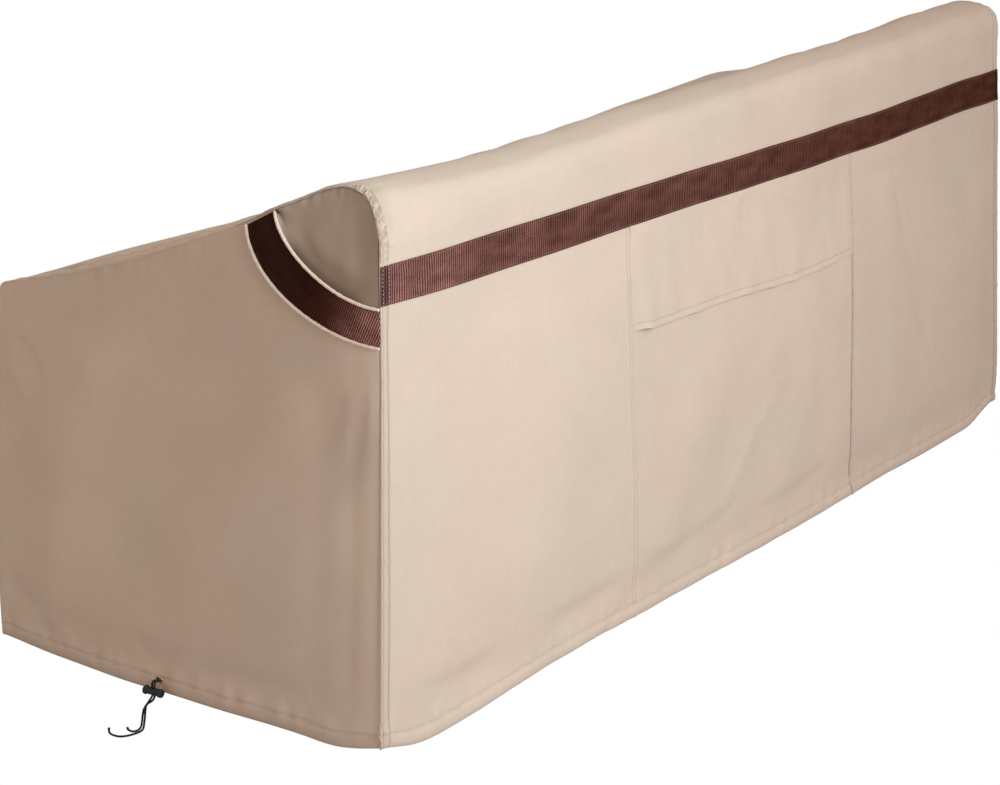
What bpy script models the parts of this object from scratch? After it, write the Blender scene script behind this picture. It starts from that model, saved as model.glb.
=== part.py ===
"""Fitted outdoor sofa cover, in the shape in which it hangs in use.

Lengths are in metres. The pattern is laid out from the hem: x runs along the cover and the
end that carries the drawcord is at +x, y is 0 on the rear face and falls towards the front,
and z is the height above the hem. One empty then carries every piece, so that the origin of
the whole cover is the point under its crown where it is held up.
"""

import math
from collections import namedtuple

import bmesh
import bpy
from mathutils import Vector

# ---- overall sizes ----
END_X = 1.105  # half the length, to the flat of an end panel
CORNER_X = 1.095  # half the length at the rear corner seams, which the rear face pulls in
DEPTH = 0.795  # rear face to front face under the top panel's front edge
FRONT_HEIGHT = 0.636  # hem to the top panel's front edge, at the ends
FLARE_TOP = 0.600  # below this height the walls stand out towards the hem
REAR_FLARE = 0.0145
END_FLARE = 0.022
CORNER_FLARE = 0.030
FRONT_FLARE = 0.018
FRONT_ROUND = 0.020  # radius of the top panel's front edge
FLOOR_Z = -0.058  # the surface on which the cord's tails come to rest

# ---- cloth ----
CLOTH = 0.0020  # coated polyester with its seam allowances
WEBBING = 0.0016
SEAM_GAP = 0.0004  # between two pieces that are sewn edge to edge
LAY_GAP = 0.0004  # between a piece and the cloth that it is sewn flat to
EDGE_GAP = 0.0006  # between an end panel's edge and the long panels around it
PIPING_R = 0.0021

# ---- crown ----
BAND_SEAM_Z = 0.739  # the rear panels and the crown panel meet here, under the band
CROWN_Y = -0.083
CROWN_JOIN_Y = -0.235  # the crown panel and the top panel meet here
CROWN_JOIN_DROP = 0.062

Crown = namedtuple("Crown", "x height")
CROWN_HEIGHTS = (
    Crown(-1.10, 0.922),
    Crown(-0.95, 0.920),
    Crown(-0.78, 0.9135),
    Crown(-0.60, 0.905),
    Crown(-0.36, 0.901),
    Crown(-0.08, 0.893),
    Crown(0.09, 0.893),
    Crown(0.22, 0.887),
    Crown(0.32, 0.887),
    Crown(0.48, 0.881),
    Crown(0.72, 0.876),
    Crown(0.92, 0.882),
    Crown(1.10, 0.889),
)

# A row for each line of the crown panel, from the seam under the band to the top panel.
# below: distance under the crown, which is square along the cover and rounds off at its near
# end, as near_y and near_below say. inset: how far the end seam leans in from END_X.
CrownRow = namedtuple("CrownRow", "y below near_y near_below inset_near inset_far")
JOIN_ROW_Y = CROWN_JOIN_Y + SEAM_GAP / 2
CROWN_ROWS = (
    CrownRow(0.0000, 0.0660, -0.0005, 0.0720, 0.010, 0.010),
    CrownRow(-0.0015, 0.0440, -0.0070, 0.0520, 0.013, 0.010),
    CrownRow(-0.0060, 0.0270, -0.0160, 0.0360, 0.018, 0.010),
    CrownRow(-0.0180, 0.0125, -0.0300, 0.0155, 0.023, 0.011),
    CrownRow(-0.0450, 0.0035, -0.0530, 0.0030, 0.026, 0.012),
    CrownRow(CROWN_Y, 0.000, CROWN_Y, 0.000, 0.026, 0.012),
    CrownRow(-0.118, 0.009, -0.118, 0.009, 0.021, 0.012),
    CrownRow(-0.155, 0.026, -0.155, 0.026, 0.012, 0.009),
    CrownRow(-0.195, 0.043, -0.195, 0.043, 0.000, 0.000),
    CrownRow(JOIN_ROW_Y, CROWN_JOIN_DROP, JOIN_ROW_Y, CROWN_JOIN_DROP, 0.000, 0.000),
)
SLUMP_X, SLUMP_REACH = 0.88, 0.19  # where the square crown starts to round off, and how slowly

# How the crown and the top panel roll down to an end seam.
Roll = namedtuple("Roll", "drop reach")
CROWN_ROLL_NEAR = Roll(0.003, 0.030)
CROWN_ROLL_FAR = Roll(0.004, 0.024)
TOP_ROLL = Roll(0.023, 0.075)

# ---- brown webbing ----
Band = namedtuple("Band", "x low high")
REAR_BAND = (
    Band(-1.10, 0.711, 0.777),
    Band(-0.80, 0.709, 0.774),
    Band(-0.60, 0.704, 0.769),
    Band(-0.40, 0.7025, 0.7665),
    Band(-0.18, 0.7035, 0.767),
    Band(0.26, 0.707, 0.770),
    Band(0.60, 0.707, 0.771),
    Band(0.95, 0.709, 0.772),
    Band(1.10, 0.714, 0.774),
)

# An arc runs from the top seam of an end panel, steeply down, to the rear corner seam.
# power: 2 is a quarter ellipse, and less is straighter.
Arc = namedtuple("Arc", "reach top drop power")
UPPER_ARC = Arc(0.193, 0.838, 0.1285, 1.68)
LOWER_ARC = Arc(0.252, 0.810, 0.160, 1.86)

# ---- rear panels ----
Seam = namedtuple("Seam", "x_high x_low")
NEAR_SEAM = Seam(0.401, 0.374)
FAR_SEAM = Seam(-0.408, -0.452)
FlapEdge = namedtuple("FlapEdge", "x z")
FLAP_EDGE = (
    FlapEdge(-0.43, 0.505),
    FlapEdge(-0.12, 0.503),
    FlapEdge(0.00, 0.511),
    FlapEdge(0.15, 0.516),
    FlapEdge(0.39, 0.521),
)
FLAP_LIFT = 0.0030  # along the flap's free edge
FLAP_GAPE = 0.0100  # more, where its near end stands open
FLAP_GAPE_X = 0.335

# ---- hem line, which the drawcord lifts at the corners ----
Hem = namedtuple("Hem", "at z")
REAR_HEM = (
    Hem(-1.10, 0.030),
    Hem(-1.00, 0.010),
    Hem(-0.86, 0.002),
    Hem(-0.60, 0.002),
    Hem(-0.30, -0.003),
    Hem(0.20, -0.002),
    Hem(0.50, 0.000),
    Hem(0.68, -0.006),
    Hem(0.80, -0.013),
    Hem(0.95, -0.014),
    Hem(1.04, -0.006),
    Hem(1.11, 0.011),
)
NEAR_HEM = (
    Hem(-0.80, 0.019),
    Hem(-0.70, 0.012),
    Hem(-0.55, 0.003),
    Hem(-0.40, 0.000),
    Hem(-0.15, -0.002),
    Hem(-0.07, -0.004),
    Hem(0.01, 0.012),
)
FAR_HEM = (
    Hem(-0.80, 0.020),
    Hem(-0.62, 0.004),
    Hem(-0.35, -0.002),
    Hem(-0.12, 0.006),
    Hem(0.01, 0.030),
)
FRONT_HEM = (
    Hem(-1.10, 0.020),
    Hem(-0.90, 0.002),
    Hem(-0.30, -0.004),
    Hem(0.35, -0.002),
    Hem(0.92, 0.003),
    Hem(1.10, 0.019),
)
CORNER_TUCK = 0.005  # how far the drawcord pulls each hem corner in
TUCK_HEIGHT = 0.16

# ---- main folds: a soft ridge (rise > 0) or trough between a high and a low point ----
Fold = namedtuple("Fold", "at_high z_high at_low z_low width rise")
REAR_FOLDS = (
    Fold(0.90, 0.58, 0.84, 0.06, 0.050, -0.0040),
    Fold(0.74, 0.60, 0.66, 0.05, 0.055, 0.0045),
    Fold(0.54, 0.52, 0.50, 0.06, 0.045, -0.0035),
    Fold(0.10, 0.40, 0.33, 0.07, 0.060, 0.0050),
    Fold(-0.10, 0.46, 0.22, 0.06, 0.050, -0.0045),
    Fold(-0.26, 0.45, -0.14, 0.07, 0.050, 0.0045),
    Fold(-0.56, 0.62, -0.60, 0.16, 0.040, 0.0045),
    Fold(-0.67, 0.62, -0.74, 0.10, 0.045, -0.0045),
    Fold(-0.82, 0.66, -1.00, 0.42, 0.050, -0.0040),
    Fold(-0.86, 0.36, -0.97, 0.05, 0.050, 0.0055),
)
END_FOLDS = (
    Fold(-0.29, 0.60, -0.52, 0.28, 0.070, -0.0045),
    Fold(-0.18, 0.56, -0.36, 0.20, 0.060, 0.0035),
    Fold(-0.60, 0.52, -0.70, 0.14, 0.050, 0.0035),
    Fold(-0.10, 0.54, -0.12, 0.10, 0.035, -0.0030),
)
FRONT_FOLDS = (
    Fold(0.85, 0.52, 0.80, 0.06, 0.060, 0.0045),
    Fold(0.52, 0.50, 0.60, 0.05, 0.055, -0.0045),
    Fold(0.10, 0.52, 0.22, 0.06, 0.065, 0.0050),
    Fold(-0.20, 0.50, -0.12, 0.06, 0.055, -0.0045),
    Fold(-0.55, 0.52, -0.62, 0.06, 0.060, 0.0045),
    Fold(-0.88, 0.50, -0.80, 0.05, 0.055, -0.0040),
)
# On the top panel the second measure is the depth y instead of the height.
TOP_FOLDS = (
    Fold(0.96, -0.30, 0.98, -0.72, 0.075, 0.0090),
    Fold(-0.96, -0.30, -0.98, -0.72, 0.075, 0.0090),
    Fold(0.62, -0.27, 0.72, -0.70, 0.060, -0.0070),
    Fold(0.36, -0.27, 0.30, -0.70, 0.070, 0.0080),
    Fold(-0.02, -0.28, 0.02, -0.68, 0.070, -0.0080),
    Fold(-0.34, -0.27, -0.38, -0.70, 0.070, 0.0080),
    Fold(-0.66, -0.28, -0.72, -0.70, 0.060, -0.0060),
)
REAR_BELLY = 0.012  # the walls hang out a little between their upper edge and the hem
END_BELLY = 0.006
FRONT_BELLY = 0.010
HEM_DRAW = 0.006  # the trough that the drawcord pulls above its casing
TOP_SAG = 0.016
TOP_SLUMP = 0.39  # how far the top panel's slope hangs under a straight line
# The top panel rises in low humps in front of the crown.
Bulge = namedtuple("Bulge", "x half_x rise")
BULGES = (Bulge(0.15, 0.10, 0.0100), Bulge(-0.05, 0.13, 0.0125), Bulge(-0.22, 0.12, 0.0160))
BULGE_Y, BULGE_HALF_Y = -0.212, 0.070

# ---- how the whole cover leans and squares up as it hangs ----
SETTLE_LOW, SETTLE_SPAN = 0.60, 0.24  # heights over which the lean changes
SETTLE_OUT, SETTLE_IN = 0.008, 0.002  # the rear corners, outwards below and inwards above
SETTLE_BACK, SETTLE_FORWARD = 0.0025, 0.0050  # the rear face, below and above
SETTLE_CORNER, SETTLE_DEPTH = 0.05, 0.25  # how far in front of the rear face each dies out

# ---- grid stations ----
WALL_SHARES = (0.0, 0.04, 0.115, 0.21, 0.33, 0.45, 0.57, 0.69, 0.80, 0.90, 1.0)  # of FLARE_TOP
REAR_TOP_ROWS = (0.645, 0.690, BAND_SEAM_Z - SEAM_GAP / 2)
TOP_ROW_YS = (-0.300, -0.370, -0.450, -0.530, -0.610, -0.690, -0.745)
ROUND_STEPS = 3
NEAR_COLUMNS, CENTRE_COLUMNS, FAR_COLUMNS = 17, 19, 16
LONG_COLUMNS = 38
CORNER_STEPS = (0.0, 0.006, 0.014, 0.027, 0.045)  # inwards from the rear corner seam
CORNER_REACH = CORNER_STEPS[-1]
END_RISE_ROWS = (0.34, 0.67, 1.0)  # of an end panel's height above FLARE_TOP
GUSSET_TUCK = 0.008  # how far the gusset runs down behind the end panel's edge
GUSSET_HOLLOW = 0.007
GUSSET_TIP_YS = (-0.203, -0.193, -0.187, -0.176)

# ---- drawcord, eyelet and lock ----
EYELET_Y, EYELET_Z = -0.4455, 0.0205
EYELET_R, EYELET_HOLE_R = 0.0074, 0.0048
CORD_R = 0.0019
LOCK_CENTRE = (1.1462, -0.4410, 0.0085)
LOCK_LENGTH, LOCK_R, LOCK_CAP_R, LOCK_CAP = 0.038, 0.0064, 0.0078, 0.0070
LOCK_AXIS = (-0.03, 1.0, -0.01)
LOCK_SLOT_HALF, LOCK_SLOT_R = 0.0028, 0.0027
CORD_STEP = 0.0050

# The two strands leave the eyelet and run side by side through the lock, cross under it and
# come down together. turn: how far the pair has turned about its own line, in degrees.
PairPoint = namedtuple("PairPoint", "x y z turn")
STRAND_HALF = 0.0026  # half the distance between the strands
PAIR_ROUTE = (
    PairPoint(1.1340, -0.4448, 0.0222, 0),
    PairPoint(1.1390, -0.4432, 0.0236, 0),
    PairPoint(1.1450, -0.4412, 0.0230, 0),
    PairPoint(1.1462, -0.4410, 0.0170, 0),
    PairPoint(1.1462, -0.4410, 0.0085, 0),
    PairPoint(1.1462, -0.4412, 0.0005, 0),
    PairPoint(1.1468, -0.4470, -0.0090, 50),
    PairPoint(1.1470, -0.4560, -0.0180, 115),
    PairPoint(1.1470, -0.4610, -0.0280, 160),
    PairPoint(1.1475, -0.4630, -0.0390, 180),
    PairPoint(1.1520, -0.4610, -0.0490, 180),
)
LONG_END = (
    (1.1610, -0.4530, -0.0548),
    (1.1720, -0.4510, -0.0560),
    (1.1840, -0.4530, -0.0560),
    (1.1950, -0.4570, -0.0560),
    (1.2040, -0.4650, -0.0560),
    (1.2060, -0.4780, -0.0560),
    (1.2020, -0.4900, -0.0555),
    (1.1935, -0.4985, -0.0530),
)
SHORT_END = (
    (1.1590, -0.4600, -0.0545),
    (1.1680, -0.4580, -0.0560),
    (1.1765, -0.4610, -0.0560),
    (1.1790, -0.4680, -0.0545),
    (1.1765, -0.4740, -0.0520),
)

# ---- finishes: colour, roughness, metallic ----
Finish = namedtuple("Finish", "color roughness metallic")
FINISHES = {
    "cloth": Finish((0.585, 0.455, 0.350), 0.72, 0.0),
    "webbing": Finish((0.075, 0.026, 0.019), 0.60, 0.0),
    "piping": Finish((0.640, 0.500, 0.385), 0.65, 0.0),
    "cord": Finish((0.008, 0.008, 0.009), 0.75, 0.0),
    "lock": Finish((0.010, 0.010, 0.011), 0.42, 0.0),
    "brass": Finish((0.760, 0.540, 0.200), 0.28, 1.0),
}


# ---- small maths ----
def clamp(value, low=0.0, high=1.0):
    return max(low, min(high, value))


def smooth(value):
    value = clamp(value)
    return value * value * (3 - 2 * value)


def along(table, at, field):
    """A table's value at one place, eased between its rows."""
    if at <= table[0][0]:
        return getattr(table[0], field)
    for low, high in zip(table, table[1:]):
        if at <= high[0]:
            share = smooth((at - low[0]) / (high[0] - low[0]))
            return getattr(low, field) * (1 - share) + getattr(high, field) * share
    return getattr(table[-1], field)


def spaced(low, high, count):
    return [low + (high - low) * step / count for step in range(count + 1)]


def fold_push(folds, at, z):
    """How far the folds lift the cloth at a place on a panel."""
    push = 0.0
    for fold in folds:
        run = Vector((fold.at_low - fold.at_high, fold.z_low - fold.z_high))
        place = Vector((at - fold.at_high, z - fold.z_high))
        share = place.dot(run) / run.length_squared
        aside = place - run * clamp(share)
        push += fold.rise * math.exp(-((aside.length / fold.width) ** 2))
    return push


def settle(point):
    rise = smooth((point.z - SETTLE_LOW) / SETTLE_SPAN)
    aside = (SETTLE_OUT - (SETTLE_OUT + SETTLE_IN) * rise) * clamp(1 + point.y / SETTLE_CORNER)
    back = (SETTLE_BACK - (SETTLE_BACK + SETTLE_FORWARD) * rise) * clamp(1 + point.y / SETTLE_DEPTH)
    return Vector((point.x + aside * point.x / END_X, point.y + back, point.z))


def flare(amount, z):
    return amount * clamp(1 - z / FLARE_TOP)


def tuck(z):
    return CORNER_TUCK * clamp(1 - z / TUCK_HEIGHT) ** 2


def roll_down(roll, distance):
    """The drop of a surface that rounds over to a seam this far away."""
    return roll.drop * (1 - math.sqrt(1 - (1 - clamp(distance / roll.reach)) ** 2))


def offset_line(points, distance):
    """A mitred copy of an open 2D line, moved to the left of its direction."""
    moved = []
    for index, point in enumerate(points):
        normals = []
        for first, second in ((index - 1, index), (index, index + 1)):
            if first < 0 or second >= len(points):
                continue
            run = (points[second] - points[first]).normalized()
            normals.append(Vector((-run.y, run.x)))
        middle = sum(normals, Vector((0.0, 0.0))).normalized()
        moved.append(point + middle * (distance / middle.dot(normals[0])))
    return moved


# ---- the walls ----
def corner_x(z):
    return CORNER_X + flare(CORNER_FLARE, z) - tuck(z)


def rear_corner_y(z):
    return flare(REAR_FLARE, z) - tuck(z)


def front_corner_y(z):
    return -DEPTH - flare(FRONT_FLARE, z) + tuck(z)


def wall_push(folds, belly, at, z, top, from_corner):
    """Belly, folds and the drawcord's pull, which all die out at the corner seams."""
    free = smooth(from_corner / 0.14)
    upper = smooth((top - z) / 0.06)
    hang = belly * math.sin(math.pi * clamp(z / top))
    draw = HEM_DRAW * math.exp(-(((z - 0.055) / 0.035) ** 2)) * (0.75 + 0.25 * math.sin(23 * at))
    return (hang + fold_push(folds, at, z) - draw) * free * upper + tuck(z) * free


def hem_height(z, hem):
    """The height of a wall's row, where the rows near the hem follow the hem line."""
    return z + hem * clamp(1 - z / (0.5 * FLARE_TOP)) ** 2


def rear_point(x, z):
    push = wall_push(REAR_FOLDS, REAR_BELLY, x, z, 0.66, corner_x(z) - abs(x))
    lift = along(REAR_HEM, x, "z")
    return Vector((x, rear_corner_y(z) + push, hem_height(z, lift)))


def front_point(x, z):
    push = wall_push(FRONT_FOLDS, FRONT_BELLY, x, z, FLARE_TOP, corner_x(z) - abs(x))
    lift = along(FRONT_HEM, x, "z")
    return Vector((x, front_corner_y(z) - push, hem_height(z, lift)))


def crown_height(x):
    return along(CROWN_HEIGHTS, x, "height")


def end_inset(row, side):
    return row.inset_near if side > 0 else row.inset_far


def crown_roll(x, edge):
    roll = CROWN_ROLL_NEAR if x > 0 else CROWN_ROLL_FAR
    return roll_down(roll, edge - abs(x))


def bulge(x, y):
    rise = 0.0
    for hump in BULGES:
        away = ((x - hump.x) / hump.half_x) ** 2 + ((y - BULGE_Y) / BULGE_HALF_Y) ** 2
        rise += hump.rise * math.exp(-away)
    return rise


def crown_point(row, share):
    """A point on the crown panel: share runs from the far end seam, 0, to the near one, 1."""
    low, high = -END_X + end_inset(row, -1), END_X - end_inset(row, 1)
    x = low + (high - low) * share
    edge = high if x > 0 else -low
    slump = smooth((x - SLUMP_X) / SLUMP_REACH)
    y = row.y + (row.near_y - row.y) * slump
    below = row.below + (row.near_below - row.below) * slump
    rolled = smooth((0.072 - below) / 0.05) if row.y > CROWN_Y else 1.0
    z = crown_height(x) - below - crown_roll(x, edge) * rolled
    return Vector((x, y, z + bulge(x, y) * smooth((-y - 0.11) / 0.07)))


def top_share(y):
    return (y + DEPTH) / (CROWN_JOIN_Y + DEPTH)


def top_point(y, share):
    x = END_X * (2 * share - 1)
    up = clamp(top_share(y))
    join = crown_height(x) - CROWN_JOIN_DROP
    climb = up - TOP_SLUMP * up * (1 - up)
    z = FRONT_HEIGHT + (join - FRONT_HEIGHT) * climb
    swell = math.sin(math.pi * up)
    edge = END_X - abs(x)
    z += TOP_ROLL.drop * swell - roll_down(TOP_ROLL, edge) * swell
    z -= crown_roll(x, END_X) * smooth((up - 0.7) / 0.3)
    free = smooth(edge / 0.2)
    z -= TOP_SAG * swell * free
    z += fold_push(TOP_FOLDS, x, y) * swell * smooth(edge / 0.1)
    return Vector((x, y, z + bulge(x, y) * smooth((edge - 0.1) / 0.2)))


def front_edge_rows(share):
    """The top panel's rounded front edge, from its flat to the seam on the front wall."""
    x = END_X * (2 * share - 1)
    flat_y = -DEPTH + FRONT_ROUND
    start = top_point(flat_y, share)
    centre_z = start.z - FRONT_ROUND
    rows = []
    for step in range(ROUND_STEPS + 1):
        turn = math.radians(90 * step / ROUND_STEPS)
        y = flat_y - FRONT_ROUND * math.sin(turn)
        rows.append(Vector((x, y, centre_z + FRONT_ROUND * math.cos(turn))))
    rows.append(Vector((x, -DEPTH, FLARE_TOP + SEAM_GAP / 2)))
    return rows


# ---- making a closed sheet from a grid ----
def finish_of(name):
    material = bpy.data.materials.get(name)
    if material is None:
        finish = FINISHES[name]
        material = bpy.data.materials.new(name)
        material.use_nodes = True
        shader = material.node_tree.nodes["Principled BSDF"]
        shader.inputs["Base Color"].default_value = (*finish.color, 1.0)
        shader.inputs["Roughness"].default_value = finish.roughness
        shader.inputs["Metallic"].default_value = finish.metallic
        material.diffuse_color = (*finish.color, 1.0)
    return material


def place(obj, finish, carrier):
    obj.data.materials.append(finish_of(finish))
    obj.parent = carrier
    bpy.context.scene.collection.objects.link(obj)
    return obj


def sheet(name, outer, inner, finish, carrier):
    """A closed thin solid between two equal grids, each a list of rows of points."""
    rows, columns = len(outer), len(outer[0])
    work = bmesh.new()
    skins = []
    for grid in (outer, inner):
        skins.append([[work.verts.new(settle(point)) for point in row] for row in grid])
    for skin in skins:
        for r in range(rows - 1):
            for c in range(columns - 1):
                work.faces.new((skin[r][c], skin[r][c + 1], skin[r + 1][c + 1], skin[r + 1][c]))
    rim = [(0, c) for c in range(columns)]
    rim += [(r, columns - 1) for r in range(1, rows)]
    rim += [(rows - 1, c) for c in reversed(range(columns - 1))]
    rim += [(r, 0) for r in reversed(range(1, rows - 1))]
    for (r, c), (next_r, next_c) in zip(rim, rim[1:] + rim[:1]):
        work.faces.new((skins[0][r][c], skins[0][next_r][next_c], skins[1][next_r][next_c], skins[1][r][c]))
    bmesh.ops.recalc_face_normals(work, faces=work.faces)
    mesh = bpy.data.meshes.new(name)
    work.to_mesh(mesh)
    work.free()
    mesh.shade_smooth()
    mesh.set_sharp_from_angle(angle=math.radians(40))
    return place(bpy.data.objects.new(name, mesh), finish, carrier)


def section_inner(section, thickness):
    """One cross-section of a long panel, moved inwards by the cloth's thickness."""
    flat = [Vector((point.y, point.z)) for point in section]
    moved = offset_line(flat, thickness)
    return [Vector((point.x, line.x, line.y)) for point, line in zip(section, moved)]


def long_panel(name, sections, first, last, carrier):
    """A panel from whole sections of the cover, using the rows from first to last."""
    outer = [section[first:last] for section in sections]
    inner = [section_inner(section, CLOTH)[first:last] for section in sections]
    return sheet(name, outer, inner, "cloth", carrier)


# ---- long panels: rear, crown, top and front, which run from end to end as one sleeve ----
def rear_rows():
    return [share * FLARE_TOP for share in WALL_SHARES] + list(REAR_TOP_ROWS)


def seam_x(seam, z):
    share = clamp(z / BAND_SEAM_Z)
    return seam.x_low + (seam.x_high - seam.x_low) * share


def rear_panel(name, left, right, columns, carrier):
    """left and right give the panel's edges, seen from behind, at a height."""
    sections = []
    for share in spaced(0.0, 1.0, columns):
        section = []
        for z in rear_rows():
            x = left(z) + (right(z) - left(z)) * share
            section.append(rear_point(x, z))
        sections.append(section)
    return long_panel(name, sections, 0, len(sections[0]), carrier)


def build_rear(carrier):
    half = SEAM_GAP / 2
    rear_panel("rear_panel_near", lambda z: corner_x(z), lambda z: seam_x(NEAR_SEAM, z) + half,
               NEAR_COLUMNS, carrier)
    rear_panel("rear_panel_centre", lambda z: seam_x(NEAR_SEAM, z) - half,
               lambda z: seam_x(FAR_SEAM, z) + half, CENTRE_COLUMNS, carrier)
    rear_panel("rear_panel_far", lambda z: seam_x(FAR_SEAM, z) - half, lambda z: -corner_x(z),
               FAR_COLUMNS, carrier)


def long_shares():
    """Column places along the crown and top, closer together where they round to the ends."""
    close = [0.0, 0.008, 0.018, 0.032]
    middle = spaced(0.055, 0.945, LONG_COLUMNS - 8)
    return close + middle + [1 - share for share in reversed(close)]


def sleeve_section(share):
    """Crown, top and front at one place along the cover, from the band seam to the hem."""
    first = crown_point(CROWN_ROWS[0], share)
    section = [Vector((first.x, 0.0, BAND_SEAM_Z + SEAM_GAP / 2)), Vector((first.x, 0.0, 0.782))]
    section += [crown_point(row, share) for row in CROWN_ROWS]
    section.append(top_point(CROWN_JOIN_Y - SEAM_GAP / 2, share))
    section += [top_point(y, share) for y in TOP_ROW_YS]
    section += front_edge_rows(share)
    for wall_share in reversed(WALL_SHARES):
        z = wall_share * FLARE_TOP - (SEAM_GAP / 2 if wall_share == 1.0 else 0.0)
        x = (END_X + flare(END_FLARE, z) - tuck(z)) * (2 * share - 1)
        section.append(front_point(x, z))
    return section


CROWN_END = 2 + len(CROWN_ROWS)
TOP_END = CROWN_END + 1 + len(TOP_ROW_YS) + ROUND_STEPS + 2


def build_sleeve(carrier):
    sections = [sleeve_section(1 - share) for share in long_shares()]
    long_panel("crown_panel", sections, 0, CROWN_END, carrier)
    long_panel("top_panel", sections, CROWN_END, TOP_END, carrier)
    long_panel("front_panel", sections, TOP_END, len(sections[0]), carrier)


# ---- end panels, gussets and their webbing ----
def arc_z(arc, y):
    """Height of an arc's line at a depth y."""
    across = clamp(-y / arc.reach) ** arc.power
    return arc.top - arc.drop * (1 - across) ** (1 / arc.power)


def inner_edge(side):
    """The inside of the sleeve's end section, as (y, z) from the band seam to the front."""
    section = sleeve_section(1.0 if side > 0 else 0.0)
    flat = [Vector((point.y, point.z)) for point in section]
    return offset_line(flat, CLOTH + EDGE_GAP)[:TOP_END]


def edge_z(edge, y):
    """Height of the sleeve's inside above a depth y."""
    for near, far in zip(edge, edge[1:]):
        if far.x <= y <= near.x and near.x > far.x:
            share = (y - far.x) / (near.x - far.x)
            return far.y + (near.y - far.y) * share
    return edge[-1].y


def rear_corner_line():
    """The end panel's rear rounding in plan, from the flat to the corner seam."""
    line = []
    for step in reversed(CORNER_STEPS):
        inset = (END_X - CORNER_X) * (1 - step / CORNER_REACH) ** 2
        line.append(Vector((END_X - inset, -step - CLOTH - EDGE_GAP)))
    return line


def plan_x(y):
    """The end panel's plan, as x at a depth y, above the flare."""
    line = rear_corner_line()
    for first, second in zip(line, line[1:]):
        if first.y <= y <= second.y:
            share = (y - first.y) / (second.y - first.y)
            return first.x + (second.x - first.x) * share
    return END_X if y < line[0].y else line[-1].x


def end_columns(edge):
    """Depths of an end panel's columns above the flare, front to rear."""
    front = edge[TOP_END - 1].x
    rounding = [point.x for point in edge[TOP_END - 1 - ROUND_STEPS:TOP_END - 1]]
    slope = [point.x for point in edge[CROWN_END:TOP_END - 2 - ROUND_STEPS]]
    slope += [point.x for point in edge[:CROWN_END - 1] if point.x < -UPPER_ARC.reach - 0.001]
    arc_part = [-UPPER_ARC.reach, -0.183, -0.165, -0.135, -0.102, -0.072]
    columns = [front] + [y for y in rounding if y > front + 1e-4]
    return sorted(set(columns + slope + arc_part)) + [point.y for point in rear_corner_line()]


def end_top(edge, y):
    if y >= -UPPER_ARC.reach:
        return min(arc_z(UPPER_ARC, y), edge_z(edge, y))
    return edge_z(edge, y)


def end_point(y_share, z, height, hem):
    """A point below the flare's top: y_share is 0 at the front seam and 1 at the rear one."""
    margin = CLOTH + EDGE_GAP
    front, rear = front_corner_y(z) + margin, rear_corner_y(z) - margin
    y = front + (rear - front) * y_share
    level_y = -DEPTH + margin + (DEPTH - 2 * margin) * y_share
    from_corner = min(y - front, rear - y)
    push = wall_push(END_FOLDS, END_BELLY, y, z, FLARE_TOP, from_corner)
    x = plan_x(level_y) + flare(END_FLARE, z) - tuck(z) + push
    return Vector((x, y, hem_height(height, hem)))


def end_panel(name, side, hem_table, carrier):
    edge = inner_edge(side)
    columns = end_columns(edge)
    front, rear = columns[0], columns[-1]
    outer = []
    for y in columns:
        share = (y - front) / (rear - front)
        line = []
        for wall_share in WALL_SHARES:
            z = wall_share * FLARE_TOP
            line.append(end_point(share, z, z, along(hem_table, y, "z")))
        top = end_top(edge, y)
        for rise in END_RISE_ROWS:
            line.append(Vector((plan_x(y), y, FLARE_TOP + (top - FLARE_TOP) * rise)))
        outer.append(line)
    outer = [[Vector((point.x * side, point.y, point.z)) for point in line] for line in outer]
    inner = [[point - Vector((CLOTH * side, 0, 0)) for point in line] for line in outer]
    return sheet(name, outer, inner, "cloth", carrier)


def gusset(name, side, carrier):
    """The end cap of the crown, sunk a little behind the arc band."""
    edge = inner_edge(side)
    rear = rear_corner_line()
    columns = list(GUSSET_TIP_YS)
    columns += [point.x for point in reversed(edge[:CROWN_END]) if -0.16 < point.x < rear[-1].y - 0.002]
    columns.append(rear[-1].y)
    outer = []
    for y in columns:
        base = arc_z(UPPER_ARC, y) - GUSSET_TUCK
        top = edge_z(edge, y)
        base_x = plan_x(y) - CLOTH - EDGE_GAP
        top_x = min(END_X - end_inset_at(y, side), base_x)
        line = []
        for rise in (0.0, 0.25, 0.5, 0.75, 1.0):
            hollow = GUSSET_HOLLOW * math.sin(math.pi * rise) * smooth(-(y - rear[-1].y) / 0.05)
            x = base_x + (top_x - base_x) * rise - hollow
            line.append(Vector((x * side, y, base + (top - base) * rise)))
        outer.append(line)
    inner = [[point - Vector((CLOTH * side, 0, 0)) for point in line] for line in outer]
    return sheet(name, outer, inner, "cloth", carrier)


def end_inset_at(y, side):
    """How far the crown's end seam leans in at a depth y."""
    depths = [row.near_y if side > 0 else row.y for row in CROWN_ROWS]
    insets = [end_inset(row, side) for row in CROWN_ROWS]
    for index in range(len(depths) - 1):
        first, second = depths[index], depths[index + 1]
        if second <= y <= first:
            share = (y - second) / (first - second)
            return insets[index + 1] + (insets[index] - insets[index + 1]) * share
    return insets[0]


ARC_STATIONS = 9
ARC_END = 2  # corner steps left free before the rear seam, for the piping's ends


def arc_stations(arc):
    """Plan points along an arc, (x, y) from the top seam to near the rear corner."""
    corner = rear_corner_line()
    flat_y = corner[0].y
    span = -arc.reach - flat_y
    ys = [flat_y + span * (1 - (step / ARC_STATIONS) ** 1.5) for step in range(ARC_STATIONS)]
    return [Vector((END_X, y)) for y in ys] + corner


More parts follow.
